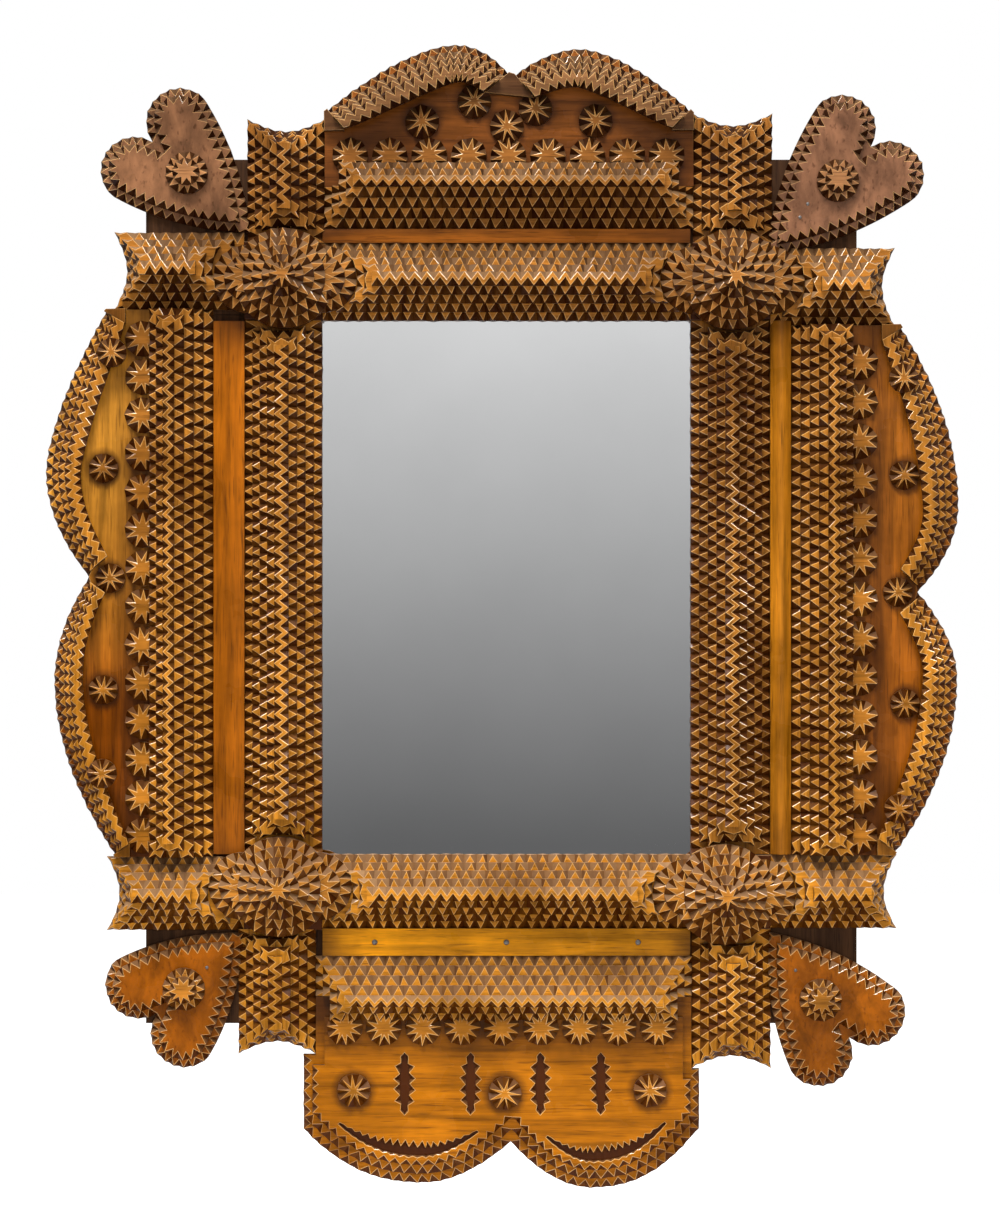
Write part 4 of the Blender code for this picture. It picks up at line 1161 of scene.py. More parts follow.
def with_holes(outline, holes):
    """An outline joined to the holes in it by slits that close on themselves."""
    points, cuts, shrinks = outline
    for hole, hole_cuts in holes:
        hole_shrinks = [-move for move in shrink_of([point + cut for point, cut in zip(hole, hole_cuts)])]
        if area_of(hole) * area_of(points) > 0:
            hole, hole_cuts, hole_shrinks = hole[::-1], hole_cuts[::-1], hole_shrinks[::-1]
        pairs = ((points[i] - hole[j]).length_squared for i in range(len(points)) for j in range(len(hole)))
        nearest = min((distance, index) for index, distance in enumerate(pairs)
                      if not cuts[index // len(hole)].length and not hole_cuts[index % len(hole)].length)[1]
        i, j = nearest // len(hole), nearest % len(hole)

        def spliced(around, within):
            return around[:i + 1] + within[j:] + within[:j + 1] + around[i:]

        points, cuts = spliced(points, hole), spliced(cuts, hole_cuts)
        shrinks = spliced(shrinks, hole_shrinks)
    return points, cuts, shrinks


def carve_plaque(carving):
    """The plaque: a dark floor, and over it a field pierced by grooves and leaves."""
    outline = BottomOutline()
    points = outline.stepped(2 * PLAQUE_LOBE_STEP, PLAQUE_SIDE_INSET)
    head = BOTTOM.edge - PLAQUE_LAP
    points[outline.last + 3].y = points[outline.last + 4].y = head
    field = outline.layer(points, PLAQUE_RIBBON_NOTCH, PLAQUE_SIDE_NOTCH)
    flat = [Vector((0.0, 0.0))] * len(points)
    floor = (outline.stepped(3 * PLAQUE_LOBE_STEP, 2 * PLAQUE_SIDE_INSET), flat)
    floor[0][outline.last + 3].y = floor[0][outline.last + 4].y = head + PLAQUE_SIDE_INSET
    carving.add(BOTTOM.place, floor, ON_PANEL, PLAQUE_FLOOR, stain=1.0)
    pierced = with_holes(field, [groove_hole(lobe) for lobe in LOBES["bottom"]] +
                         [leaf_hole(leaf) for leaf in LEAVES])
    carving.add(BOTTOM.place, pierced, ON_PANEL, LAYER - 2 * SEAT_GAP)


def star(name, count, notch, material):
    """A round rosette of unit radius and thickness with a count of notches, to be set on points."""
    carving = Carving()
    outline = notched_ring(circle((0.0, 0.0), 1.0), count, notch)
    carving.add(lambda a, b, depth: Vector((a, -depth, b)), outline, 0.0, 1.0)
    return carve(name, carving, material, **{"Worn Edge": 0.05, "Worn Drop": 0.07, "Unevenness": 0.035})


def scatter(name, shape, places, material, turn=2 * math.pi):
    """Sets a shape on places, each a world point and a size, and takes the shape away."""
    data = bpy.data.meshes.new(name)
    data.from_pydata([place for place, size in places], [], [])
    layer = data.attributes.new("size", "FLOAT_VECTOR", "POINT")
    layer.data.foreach_set("vector", [number for place, size in places for number in size])
    seed = bpy.context.scene.mirror_carving.seed
    item = run_nodes(link(name, data), tree_named("Set On Points", scatter_tree),
                     {"Shape": shape, "Turn": turn, "Seed": seed, "Material": material})
    bpy.data.objects.remove(shape, do_unlink=True)
    return item


def field_top(side):
    """The depth of the surface that a side's rosettes are glued to."""
    return PANEL_TOP + LAYER - SEAT_GAP if side is BOTTOM else PANEL_TOP


def row_places(side):
    """Where the row of rosettes along a side's outer moulding stands, with their sizes."""
    count, high_margin, low_margin = ROSETTE_ROWS[side.name]
    high = side.half_length - high_margin * ROW_ROSETTE_RADIUS
    low = -side.half_length + low_margin * ROW_ROSETTE_RADIUS
    size = (ROW_ROSETTE_RADIUS, ROSETTE_THICKNESS, ROW_ROSETTE_RADIUS)
    return [(side.place(high + (low - high) * index / (count - 1), side.edge + ROW_ROSETTE_OUT, field_top(side)), size)
            for index in range(count)]


def field_places(side):
    """Where the loose rosettes of a side stand, with their sizes."""
    radius = FIELD_RADIUS[side.name]
    made = []
    for index, shares in enumerate(FIELD_ROSETTES[side.name]):
        seat = ON_PANEL + RIM_HEIGHTS[side.name] if index in ON_RIM[side.name] else field_top(side)
        made.append((side.place(*on_panel(side, shares), seat), (radius, ROSETTE_THICKNESS, radius)))
    return made


def loft(name, rings, material, closed=False, capped=True):
    """A smooth skin over rings of equal length."""
    mesh = bmesh.new()
    rows = [[mesh.verts.new(point) for point in ring] for ring in rings]
    pairs = list(zip(rows, rows[1:] + rows[:1])) if closed else list(zip(rows, rows[1:]))
    for first, second in pairs:
        for index in range(len(first)):
            after = (index + 1) % len(first)
            mesh.faces.new((first[index], first[after], second[after], second[index]))
    if capped:
        mesh.faces.new(rows[0][::-1])
        mesh.faces.new(rows[-1])
    bmesh.ops.recalc_face_normals(mesh, faces=mesh.faces)
    data = bpy.data.meshes.new(name)
    mesh.to_mesh(data)
    mesh.free()
    data.materials.append(material)
    data.shade_smooth()
    data.set_sharp_from_angle(angle=SHARP_ANGLE)
    return link(name, data)


SHARP_ANGLE = math.radians(38)
FILLET_THICKNESS = 0.003
FILLET_CROWN = 0.0004
RIGHT_FILLET_CROWN = 0.003
FILLET_SEGMENTS = 14
FILLET_RINGS = 40


def make_fillet(side, material):
    """A plain strip between two mouldings, planed by hand and crowned across its width."""
    near, far = side.inner_edge + SEAT_GAP, side.fillet_edge - SEAT_GAP
    crown = RIGHT_FILLET_CROWN if side is RIGHT else FILLET_CROWN
    half = side.half_length - SEAT_GAP
    rings = []
    for ring in range(FILLET_RINGS + 1):
        u = -half + 2 * half * ring / FILLET_RINGS
        wander = 0.00012 * math.sin(ring * 0.9 + side.sight * 40) + 0.00008 * math.sin(ring * 2.3)
        points = [side.place(u, near, CARVING_BASE), side.place(u, far, CARVING_BASE)]
        for step in range(FILLET_SEGMENTS + 1):
            share = step / FILLET_SEGMENTS
            depth = CARVING_BASE + FILLET_THICKNESS + crown * math.sin(math.pi * share) + min(wander, 0.0)
            points.append(side.place(u, far + (near - far) * share, depth))
        rings.append(points)
    return loft("fillet_" + side.name + "_planed", rings, material)


NAIL_PROFILE = ((0.0, 1.0), (0.45, 0.93), (0.78, 0.72), (0.95, 0.42), (1.0, 0.12), (0.96, 0.0), (0.45, 0.0),
                (0.45, -9.0))
NAIL_SIDES = 14
NAIL_HEAD = (0.0015, 0.0008, 0.0015)
PIN_HEAD = (0.0009, 0.0005, 0.0009)
FILLET_NAIL_FROM_END = 0.028
HEART_PINS = {"top_right": ((0.026, 0.001), (0.034, 0.003)), "bottom_left": ((0.026, 0.0),),
              "bottom_right": ((0.024, 0.001),)}


def nail_shape(material):
    """A domed nail of unit head radius and thickness."""
    rings = []
    for radius, height in NAIL_PROFILE[1:]:
        turns = [2 * math.pi * step / NAIL_SIDES for step in range(NAIL_SIDES)]
        rings.append([Vector((radius * math.cos(turn), -height, radius * math.sin(turn))) for turn in turns])
    return loft("nail_pattern", rings, material)


RING_RADIUS = 0.009
RING_WIRE_RADIUS = 0.001
STAPLE_WIRE_RADIUS = 0.0008
STAPLE_LEG = 0.0022
STAPLE_DEPTH = 0.0064
WIRE_SIDES = 14
RING_SEGMENTS = 72
STAPLE_SEGMENTS = 16
HINGE = Vector(frame["record"]["behaviour"]["joints"][0]["pos_m"])


def wire(name, path, radius, side_way, material, closed):
    """A round wire along points that lie in one plane, whose flat side looks along side_way."""
    rings = []
    for index, point in enumerate(path):
        ahead = path[(index + 1) % len(path)] if closed else path[min(index + 1, len(path) - 1)]
        behind = path[index - 1] if closed else path[max(index - 1, 0)]
        out = (ahead - behind).normalized().cross(side_way)
        turns = [2 * math.pi * step / WIRE_SIDES for step in range(WIRE_SIDES)]
        rings.append([point + out * radius * math.cos(turn) + side_way * radius * math.sin(turn) for turn in turns])
    return loft(name, rings, material, closed=closed, capped=not closed)


def make_ring(material):
    """The hanger ring, hanging from its hinge."""
    turns = [2 * math.pi * step / RING_SEGMENTS for step in range(RING_SEGMENTS)]
    path = [HINGE + Vector((RING_RADIUS * math.sin(turn), 0.0, RING_RADIUS * (math.cos(turn) - 1)))
            for turn in turns]
    return wire("hanger_ring_wire", path, RING_WIRE_RADIUS, Vector((0.0, 1.0, 0.0)), material, True)


def make_staple(material):
    """The wire staple that holds the ring to the top board."""
    bend = [math.pi * step / STAPLE_SEGMENTS for step in range(STAPLE_SEGMENTS + 1)]
    path = [HINGE + Vector((0.0, STAPLE_LEG * math.sin(turn), STAPLE_LEG * math.cos(turn))) for turn in bend]
    path = ([HINGE + Vector((0.0, -STAPLE_DEPTH - 0.001, STAPLE_LEG))] + path +
            [HINGE + Vector((0.0, -STAPLE_DEPTH - 0.001, -STAPLE_LEG))])
    return wire("hanger_staple_wire", path, STAPLE_WIRE_RADIUS, Vector((1.0, 0.0, 0.0)), material, False)


def shader_group(name, inputs, outputs):
    """A shader group with named inputs and outputs, given with its first node's sockets."""
    tree = bpy.data.node_groups.new(name, "ShaderNodeTree")
    for label, kind, default in inputs:
        socket = tree.interface.new_socket(label, in_out="INPUT", socket_type=kind)
        if default is not None:
            socket.default_value = default
    for label, kind in outputs:
        tree.interface.new_socket(label, in_out="OUTPUT", socket_type=kind)
    build = Tree(tree)
    return build, build.node("NodeGroupInput").outputs


def mix(build, share, first, second, blend="MIX"):
    """Adds a colour mix and gives its colour."""
    made = build.node("ShaderNodeMix", data_type="RGBA", blend_type=blend)
    for socket, value in ((made.inputs[0], share), (made.inputs[6], first), (made.inputs[7], second)):
        if isinstance(value, bpy.types.NodeSocket):
            build.tree.links.new(value, socket)
        else:
            socket.default_value = value
    return made.outputs[2]


def ramp(build, value, low, high, to_low=0.0, to_high=1.0):
    """Adds a clamped Map Range and gives its result."""
    return build.node("ShaderNodeMapRange", {
        "Value": value, "From Min": low, "From Max": high, "To Min": to_low, "To Max": to_high}).outputs[0]


def wood_grain_group():
    """Streaks along the grain, dark pores and broad blotches, from Object coordinates."""
    build, given = shader_group("Wood Grain", (("Stretch", "NodeSocketVector", (14.0, 260.0, 260.0)),),
                                (("Streaks", "NodeSocketFloat"), ("Pores", "NodeSocketFloat"),
                                 ("Blotches", "NodeSocketFloat")))
    place = build.node("ShaderNodeTexCoord").outputs["Object"]
    along = build.vector("MULTIPLY", place, given["Stretch"])
    streaks = build.node("ShaderNodeTexNoise", {"Vector": along, "Scale": 1.0, "Detail": 5.0, "Roughness": 0.6,
                                                "Distortion": 0.4}).outputs["Fac"]
    finer = build.vector("SCALE", along, 4.0)
    pores = build.node("ShaderNodeTexNoise", {"Vector": finer, "Scale": 1.0, "Detail": 2.0}).outputs["Fac"]
    blotches = build.node("ShaderNodeTexNoise", {"Vector": place, "Scale": 21.0, "Detail": 4.0,
                                                 "Roughness": 0.55}).outputs["Fac"]
    build.node("NodeGroupOutput", {
        "Streaks": ramp(build, streaks, 0.3, 0.7), "Pores": ramp(build, pores, 0.58, 0.72),
        "Blotches": ramp(build, blotches, 0.34, 0.66)})
    return build.tree


LOW_TONE = -0.27
HIGH_TONE = 0.27


def aged_shellac_group():
    """Shellac over carved wood: flats, stained notches, pieces darkened as painted shade, and rubbed edges, redder and
    darker towards the top.
    """
    build, given = shader_group("Aged Shellac", (
        ("Low Flat", "NodeSocketColor", None), ("High Flat", "NodeSocketColor", None),
        ("Low Stain", "NodeSocketColor", None), ("High Stain", "NodeSocketColor", None),
        ("Rubbed", "NodeSocketColor", None), ("Streaks", "NodeSocketFloat", 0.5),
        ("Pores", "NodeSocketFloat", 0.0), ("Blotches", "NodeSocketFloat", 0.5),
        ("Low Height", "NodeSocketFloat", LOW_TONE), ("High Height", "NodeSocketFloat", HIGH_TONE)),
        (("Color", "NodeSocketColor"), ("Bare", "NodeSocketFloat")))

    def attribute(label):
        return build.node("ShaderNodeAttribute", attribute_name=label).outputs["Fac"]

    place = build.node("ShaderNodeTexCoord").outputs["Object"]
    height = build.node("ShaderNodeSeparateXYZ", {"Vector": place}).outputs["Z"]
    rise = ramp(build, height, LOW_TONE, HIGH_TONE)
    own_rise = ramp(build, height, given["Low Height"], given["High Height"])
    flat = mix(build, own_rise, given["Low Flat"], given["High Flat"])
    grey = ramp(build, given["Streaks"], 0.0, 1.0, 0.5, 1.36)
    flat = mix(build, 1.0, flat, build.node("ShaderNodeCombineColor", {0: grey, 1: grey, 2: grey}).outputs[0],
               "MULTIPLY")
    patch = ramp(build, given["Blotches"], 0.0, 1.0, 0.66, 1.26)
    flat = mix(build, 1.0, flat, build.node("ShaderNodeCombineColor", {0: patch, 1: patch, 2: patch}).outputs[0],
               "MULTIPLY")
    stain = mix(build, rise, given["Low Stain"], given["High Stain"])
    flat = mix(build, build.math("MULTIPLY", given["Pores"], 0.55), flat, stain)
    sunk = build.math("MAXIMUM", attribute("facet"), attribute("stain"))
    tone = mix(build, sunk, flat, stain)
    worn = build.math("MULTIPLY", attribute("worn"), ramp(build, given["Blotches"], 0.1, 0.7, 0.2, 0.85))
    worn = build.math("MULTIPLY", worn, build.math("SUBTRACT", 1.0, attribute("stain")))
    rubbed = mix(build, build.math("MULTIPLY", rise, 0.45), given["Rubbed"], flat)
    tone = mix(build, worn, tone, rubbed)
    build.node("NodeGroupOutput", {"Color": tone, "Bare": worn})
    return build.tree


def pools_and_shade_group():
    """Thick dark varnish and painted shade over a share of a surface, broken up by blotches."""
    build, given = shader_group("Varnish Pools", (
        ("Color", "NodeSocketColor", None), ("Pool", "NodeSocketColor", None), ("Share", "NodeSocketFloat", 0.0),
        ("Blotches", "NodeSocketFloat", 0.5)), (("Color", "NodeSocketColor"),))
    share = build.math("MULTIPLY", given["Share"], ramp(build, given["Blotches"], 0.0, 1.0, 1.0, 0.55))
    build.node("NodeGroupOutput", {"Color": mix(build, share, given["Color"], given["Pool"])})
    return build.tree


def dust_and_sheen_group():
    """Dust and painted sheen on faces that look up, thinner towards the top of the frame."""
    build, given = shader_group("Settled Dust", (
        ("Color", "NodeSocketColor", None), ("Dust", "NodeSocketColor", None), ("Amount", "NodeSocketFloat", 0.4),
        ("Blotches", "NodeSocketFloat", 0.5)), (("Color", "NodeSocketColor"), ("Dusty", "NodeSocketFloat")))
    facing = build.node("ShaderNodeNewGeometry").outputs["Normal"]
    up = build.node("ShaderNodeSeparateXYZ", {"Vector": facing}).outputs["Z"]
    place = build.node("ShaderNodeTexCoord").outputs["Object"]
    height = build.node("ShaderNodeSeparateXYZ", {"Vector": place}).outputs["Z"]
    rise = ramp(build, height, LOW_TONE, HIGH_TONE, 1.0, 0.55)
    share = build.math("MULTIPLY", ramp(build, up, 0.2, 0.55), given["Amount"])
    share = build.math("MULTIPLY", share, rise)
    share = build.math("MULTIPLY", share, ramp(build, given["Blotches"], 0.0, 0.8, 0.65, 1.0), clamp=True)
    build.node("NodeGroupOutput", {"Color": mix(build, share, given["Color"], given["Dust"]), "Dusty": share})
    return build.tree


def new_material(name):
    """A material with its Principled shader and a tree to build on."""
    material = bpy.data.materials.new(name)
    material.use_nodes = True
    return material, Tree(material.node_tree), material.node_tree.nodes["Principled BSDF"]


def group(build, name, maker, inputs):
    """Adds a shader group and gives its outputs."""
    made = build.node("ShaderNodeGroup", node_tree=tree_named(name, maker))
    for label, value in inputs.items():
        if isinstance(value, bpy.types.NodeSocket):
            build.tree.links.new(value, made.inputs[label])
        else:
            made.inputs[label].default_value = value
    return made.outputs


def shade(build, shader, **inputs):
    """Fills or links the inputs of a shader."""
    for label, value in inputs.items():
        socket = shader.inputs[label.replace("_", " ")]
        if isinstance(value, bpy.types.NodeSocket):
            build.tree.links.new(value, socket)
        else:
            socket.default_value = value


# Width of the ring of painted shade and dark varnish round a rosette.
POOL_AND_SHADE_RING_WIDTH = 0.004
# How much dust and painted sheen the faces that look up take, on upright and on level pieces.
UPRIGHT_DUST_AND_SHEEN = 0.04
LEVEL_DUST_AND_SHEEN = 0.85
UPRIGHT_GRAIN = (260.0, 260.0, 14.0)
LEVEL_GRAIN = (14.0, 260.0, 260.0)
MOTTLED_GRAIN = (110.0, 110.0, 60.0)


def wood(name, low_flat=None, high_flat=None, upright=False, roughness=0.26, dust_and_sheen=None, pools_and_shade=None, pool_and_shade_rings=(),
         heights=(LOW_TONE, HIGH_TONE), stretch=None):
    """Shellacked wood with stained notches; the flats take the frame's tones where none are given.

    Pools name an axis and the two distances from the middle between which dark varnish and painted shade thicken,
    and rings are the middles and radii of rosettes that they run round. The tone changes between two heights, and a
    stretch takes the place of the grain's own."""
    made = bpy.data.materials.get(name)
    if made:
        return made
    tones = bpy.context.scene.mirror_finish
    if dust_and_sheen is None:
        dust_and_sheen = UPRIGHT_DUST_AND_SHEEN if upright else LEVEL_DUST_AND_SHEEN
    made, build, shader = new_material(name)
    grain = group(build, "Wood Grain", wood_grain_group,
                  {"Stretch": stretch or (UPRIGHT_GRAIN if upright else LEVEL_GRAIN)})
    coat = group(build, "Aged Shellac", aged_shellac_group, {
        "Low Flat": (*(low_flat or tones.low_flat), 1.0), "High Flat": (*(high_flat or tones.high_flat), 1.0),
        "Low Stain": (*tones.low_stain, 1.0), "High Stain": (*tones.high_stain, 1.0),
        "Rubbed": (*tones.rubbed, 1.0), "Streaks": grain["Streaks"], "Pores": grain["Pores"],
        "Blotches": grain["Blotches"], "Low Height": heights[0], "High Height": heights[1]})
    place = build.node("ShaderNodeTexCoord").outputs["Object"]
    share = 0.0
    # Painted shade and dark varnish thicken towards the edges along one axis and in a ring round each rosette, on
    # faces that look forward.
    if pools_and_shade:
        axis, thin, thick = pools_and_shade
        away = build.math("ABSOLUTE", build.node("ShaderNodeSeparateXYZ", {"Vector": place}).outputs[axis])
        share = ramp(build, away, thin, thick, 0.0, 0.85)
    for middle, radius in pool_and_shade_rings:
        away = build.node("ShaderNodeVectorMath", {0: place, 1: middle}, operation="DISTANCE").outputs["Value"]
        share = build.math("MAXIMUM", share, ramp(build, away, radius + POOL_AND_SHADE_RING_WIDTH, radius, 0.0, 0.9))
    if pools_and_shade or pool_and_shade_rings:
        facing = build.node("ShaderNodeNewGeometry").outputs["Normal"]
        depth = build.node("ShaderNodeSeparateXYZ", {"Vector": facing}).outputs["Y"]
        share = build.math("MULTIPLY", share, ramp(build, depth, 0.0, -0.4))
    pooled_and_shaded = group(build, "Varnish Pools", pools_and_shade_group, {
        "Color": coat["Color"], "Pool": (*tones.pool, 1.0), "Share": share, "Blotches": grain["Blotches"]})["Color"]
    # Faces that look up are lightened towards a greyish colour, as dust and as painted sheen.
    dust_and_sheen_outputs = group(build, "Settled Dust", dust_and_sheen_group, {
        "Color": pooled_and_shaded, "Dust": (*tones.dust_and_sheen, 1.0), "Amount": dust_and_sheen, "Blotches": grain["Blotches"]})
    rough = build.math("ADD", build.math("MULTIPLY", dust_and_sheen_outputs["Dusty"], 0.3), ramp(
        build, grain["Blotches"], 0.0, 1.0, roughness - 0.06, roughness + 0.10))
    bump = build.node("ShaderNodeBump", {"Height": grain["Streaks"], "Strength": 0.12, "Distance": 0.0003})
    shade(build, shader, Base_Color=dust_and_sheen_outputs["Color"], Roughness=rough, Normal=bump.outputs["Normal"])
    shade(build, shader, Specular_IOR_Level=0.09, Coat_Weight=coat["Bare"],
          Coat_Roughness=0.1)
    return made


def raw_board():
    """Sawn board, very dark brown."""
    made, build, shader = new_material("raw_board_wood")
    grain = group(build, "Wood Grain", wood_grain_group, {"Stretch": UPRIGHT_GRAIN})
    tone = mix(build, grain["Streaks"], (0.020, 0.008, 0.003, 1.0), (0.062, 0.026, 0.010, 1.0))
    tone = mix(build, build.math("MULTIPLY", grain["Pores"], 0.6), tone, (0.010, 0.005, 0.003, 1.0))
    bump = build.node("ShaderNodeBump", {"Height": grain["Streaks"], "Strength": 0.3, "Distance": 0.0004})
    shade(build, shader, Base_Color=tone, Roughness=ramp(build, grain["Blotches"], 0.0, 1.0, 0.62, 0.8),
          Normal=bump.outputs["Normal"], Specular_IOR_Level=0.08)
    return made


def packing_card():
    """Grey-brown card with flecks."""
    made, build, shader = new_material("packing_card_grey")
    place = build.node("ShaderNodeTexCoord").outputs["Object"]
    flecks = build.node("ShaderNodeTexNoise", {"Vector": place, "Scale": 900.0, "Detail": 3.0}).outputs["Fac"]
    tone = mix(build, ramp(build, flecks, 0.35, 0.65), (0.30, 0.235, 0.145, 1.0), (0.43, 0.345, 0.225, 1.0))
    shade(build, shader, Base_Color=tone, Roughness=ramp(build, flecks, 0.3, 0.7, 0.8, 0.92))
    return made


def silvered_glass():
    """Silvered glass, a little hazy with age."""
    made, build, shader = new_material("silvered_glass_old")
    place = build.node("ShaderNodeTexCoord").outputs["Object"]
    haze = build.node("ShaderNodeTexNoise", {"Vector": place, "Scale": 11.0, "Detail": 5.0}).outputs["Fac"]
    tone = mix(build, ramp(build, haze, 0.35, 0.7), (0.90, 0.905, 0.91, 1.0), (0.84, 0.845, 0.85, 1.0))
    shade(build, shader, Base_Color=tone, Metallic=1.0, Roughness=ramp(build, haze, 0.3, 0.7, 0.015, 0.035))
    return made


def iron():
    """Dull wire with a little rust."""
    made, build, shader = new_material("iron_wire")
    place = build.node("ShaderNodeTexCoord").outputs["Object"]
    rust = build.node("ShaderNodeTexNoise", {"Vector": place, "Scale": 420.0, "Detail": 5.0}).outputs["Fac"]
    spots = ramp(build, rust, 0.52, 0.68)
    shade(build, shader, Base_Color=mix(build, spots, (0.19, 0.18, 0.17, 1.0), (0.12, 0.048, 0.020, 1.0)),
          Metallic=build.math("SUBTRACT", 0.95, build.math("MULTIPLY", spots, 0.8)),
          Roughness=ramp(build, spots, 0.0, 1.0, 0.42, 0.85))
    return made


def kept(name, maker):
    """A material by name, made the first time that it is asked for."""
    return bpy.data.materials.get(name) or maker()


# Low and high tones of the right inner moulding, which is darker than the others
DARK_TONES = ((0.30, 0.110, 0.007), (0.150, 0.054, 0.008))


class MIRROR_OT_inner_mouldings(bpy.types.Operator):
    """Carve the four mouldings round the glass"""

    bl_idname = "mirror.inner_mouldings"
    bl_label = "Inner Mouldings"

    def execute(self, context):
        for side in SIDES:
            upright = side in (LEFT, RIGHT)
            carving = Carving()
            carving.add_stack(side.place, inner_moulding_layers(side), CARVING_BASE)
            if side is RIGHT:
                material = wood("carved_upright_dark", *DARK_TONES, upright=True)
            else:
                material = wood("carved_upright" if upright else "carved_level", upright=upright)
            settle(carve("inner_moulding_" + side.name + "_carved", carving, material), "carved_wood",
                   "inner_moulding_" + side.name)
        return {"FINISHED"}


class MIRROR_OT_outer_mouldings(bpy.types.Operator):
    """Carve the four mouldings outside the fillets"""

    bl_idname = "mirror.outer_mouldings"
    bl_label = "Outer Mouldings"

    def execute(self, context):
        for side in SIDES:
            upright = side in (LEFT, RIGHT)
            carving = Carving()
            carving.add_stack(side.place, outer_moulding_layers(side), CARVING_BASE)
            material = wood("carved_upright" if upright else "carved_level", upright=upright)
            settle(carve("outer_moulding_" + side.name + "_carved", carving, material), "carved_wood",
                   "outer_moulding_" + side.name)
        return {"FINISHED"}


FILLET_TONES = {"left": (0.29, 0.078, 0.001), "right": (0.36, 0.125, 0.006), "top": (0.24, 0.068, 0.004),
                "bottom": (0.62, 0.235, 0.002)}


class MIRROR_OT_fillets(bpy.types.Operator):
    """Plane the four plain strips between the mouldings"""

    bl_idname = "mirror.fillets"
    bl_label = "Fillets"

    def execute(self, context):
        for side in SIDES:
            tone = FILLET_TONES[side.name]
            upright = side in (LEFT, RIGHT)
            # The fillets darken towards their ends as painted shade and pooled varnish.
            pools_and_shade = ("Z", 0.112, 0.143) if upright else ("X", 0.066, 0.099)
            material = wood("fillet_" + side.name + "_wood", tone, tone, upright, 0.30, 0.2, pools_and_shade)
            settle(make_fillet(side, material), "plain_wood", "fillet_" + side.name)
        return {"FINISHED"}


class MIRROR_OT_arms(bpy.types.Operator):
    """Carve the eight arms that carry the mouldings past the corners"""

    bl_idname = "mirror.arms"
    bl_label = "Arms"

    def execute(self, context):
        for corner in CORNERS:
            for is_upright, way in ((True, "upright"), (False, "level")):
                place = corner.on_upright_arm if is_upright else corner.on_level_arm
                carving = Carving()
                carving.add_stack(place, arm_layers(corner, is_upright), CARVING_BASE)
                material = wood("carved_" + way, upright=is_upright)
                node = "arm_" + corner.name + "_" + way
                settle(carve(node + "_carved", carving, material), "carved_wood", node)
        return {"FINISHED"}


class MIRROR_OT_bosses(bpy.types.Operator):
    """Carve the round boss in each corner"""

    bl_idname = "mirror.bosses"
    bl_label = "Bosses"

    def execute(self, context):
        for corner in CORNERS:
            carving = Carving()
            carve_boss(carving, corner)
            node = "corner_boss_" + corner.name
            material = wood("boss_wood", (0.38, 0.142, 0.014), (0.27, 0.104, 0.022), dust_and_sheen=0.5)
            settle(carve(node + "_carved", carving, material, Unevenness=0.0005), "carved_wood", node)
        return {"FINISHED"}


# Each heart's tone; the greyish tones of the two upper hearts include painted sheen.
HEART_TONES_AND_SHEEN = {"top_left": (0.178, 0.078, 0.035), "top_right": (0.208, 0.092, 0.046),
               "bottom_left": (0.26, 0.067, 0.001), "bottom_right": (0.245, 0.064, 0.001)}


class MIRROR_OT_hearts(bpy.types.Operator):
    """Carve the heart in each corner and the rosette on it"""

    bl_idname = "mirror.hearts"
    bl_label = "Hearts"

    def execute(self, context):
        for corner in CORNERS:
            tone = HEART_TONES_AND_SHEEN[corner.name]
            material = wood("heart_" + corner.name + "_wood", tone, tone, dust_and_sheen=0.45, stretch=MOTTLED_GRAIN)
            rosette_material = wood("heart_rosette_wood", (0.40, 0.145, 0.010), (0.36, 0.160, 0.065), dust_and_sheen=0.3)
            heart, rosette = Carving(), Carving()
            carve_heart(heart, corner)
            carve_heart_rosette(rosette, corner)
            node = "heart_" + corner.name
            settle(carve(node + "_carved", heart, material), "plain_wood", node)
            node = "heart_rosette_" + corner.name
            settle(carve(node + "_carved", rosette, rosette_material), "carved_wood", node)
        return {"FINISHED"}


# Low and high tones of each panel; the left field's lighter upper tone is painted sheen.
PANEL_TONES_AND_SHEEN = {
    "left": ((0.20, 0.047, 0.001), (0.50, 0.205, 0.020)), "right": ((0.305, 0.082, 0.003), (0.33, 0.098, 0.006)),
    "top": ((0.166, 0.049, 0.007), (0.166, 0.049, 0.007)), "bottom": ((0.36, 0.112, 0.001), (0.36, 0.112, 0.001))}
PANEL_HEIGHTS = (-0.06, 0.06)


class MIRROR_OT_panels(bpy.types.Operator):
    """Cut the four scalloped panels"""

    bl_idname = "mirror.panels"
    bl_label = "Scalloped Panels"

    def execute(self, context):
        for side in SIDES:
            carving = Carving()
            if side is BOTTOM:
                carving.add_stack(side.place, bottom_board_layers(), CARVING_BASE, LAYER / 2)
            else:
                carving.add(side.place, panel_layer(side), CARVING_BASE, LAYER)
            upright = side in (LEFT, RIGHT)
            # The panels darken next to their outer mouldings and round their rosettes as painted shade and pooled
            # varnish.
            pools_and_shade = ("X", 0.210, 0.199) if upright else ("Z", 0.252, 0.228)
            pool_and_shade_rings = [] if side is BOTTOM else [(place, size[0]) for place, size in field_places(side)]
            material = wood("panel_" + side.name + "_wood", *PANEL_TONES_AND_SHEEN[side.name], upright, 0.24, 0.25, pools_and_shade, pool_and_shade_rings,
                            PANEL_HEIGHTS)
            node = "scalloped_panel_" + side.name
            settle(carve(node + "_carved", carving, material), "plain_wood", node)
        return {"FINISHED"}


TOP_RIM_TONE = (0.142, 0.063, 0.023)


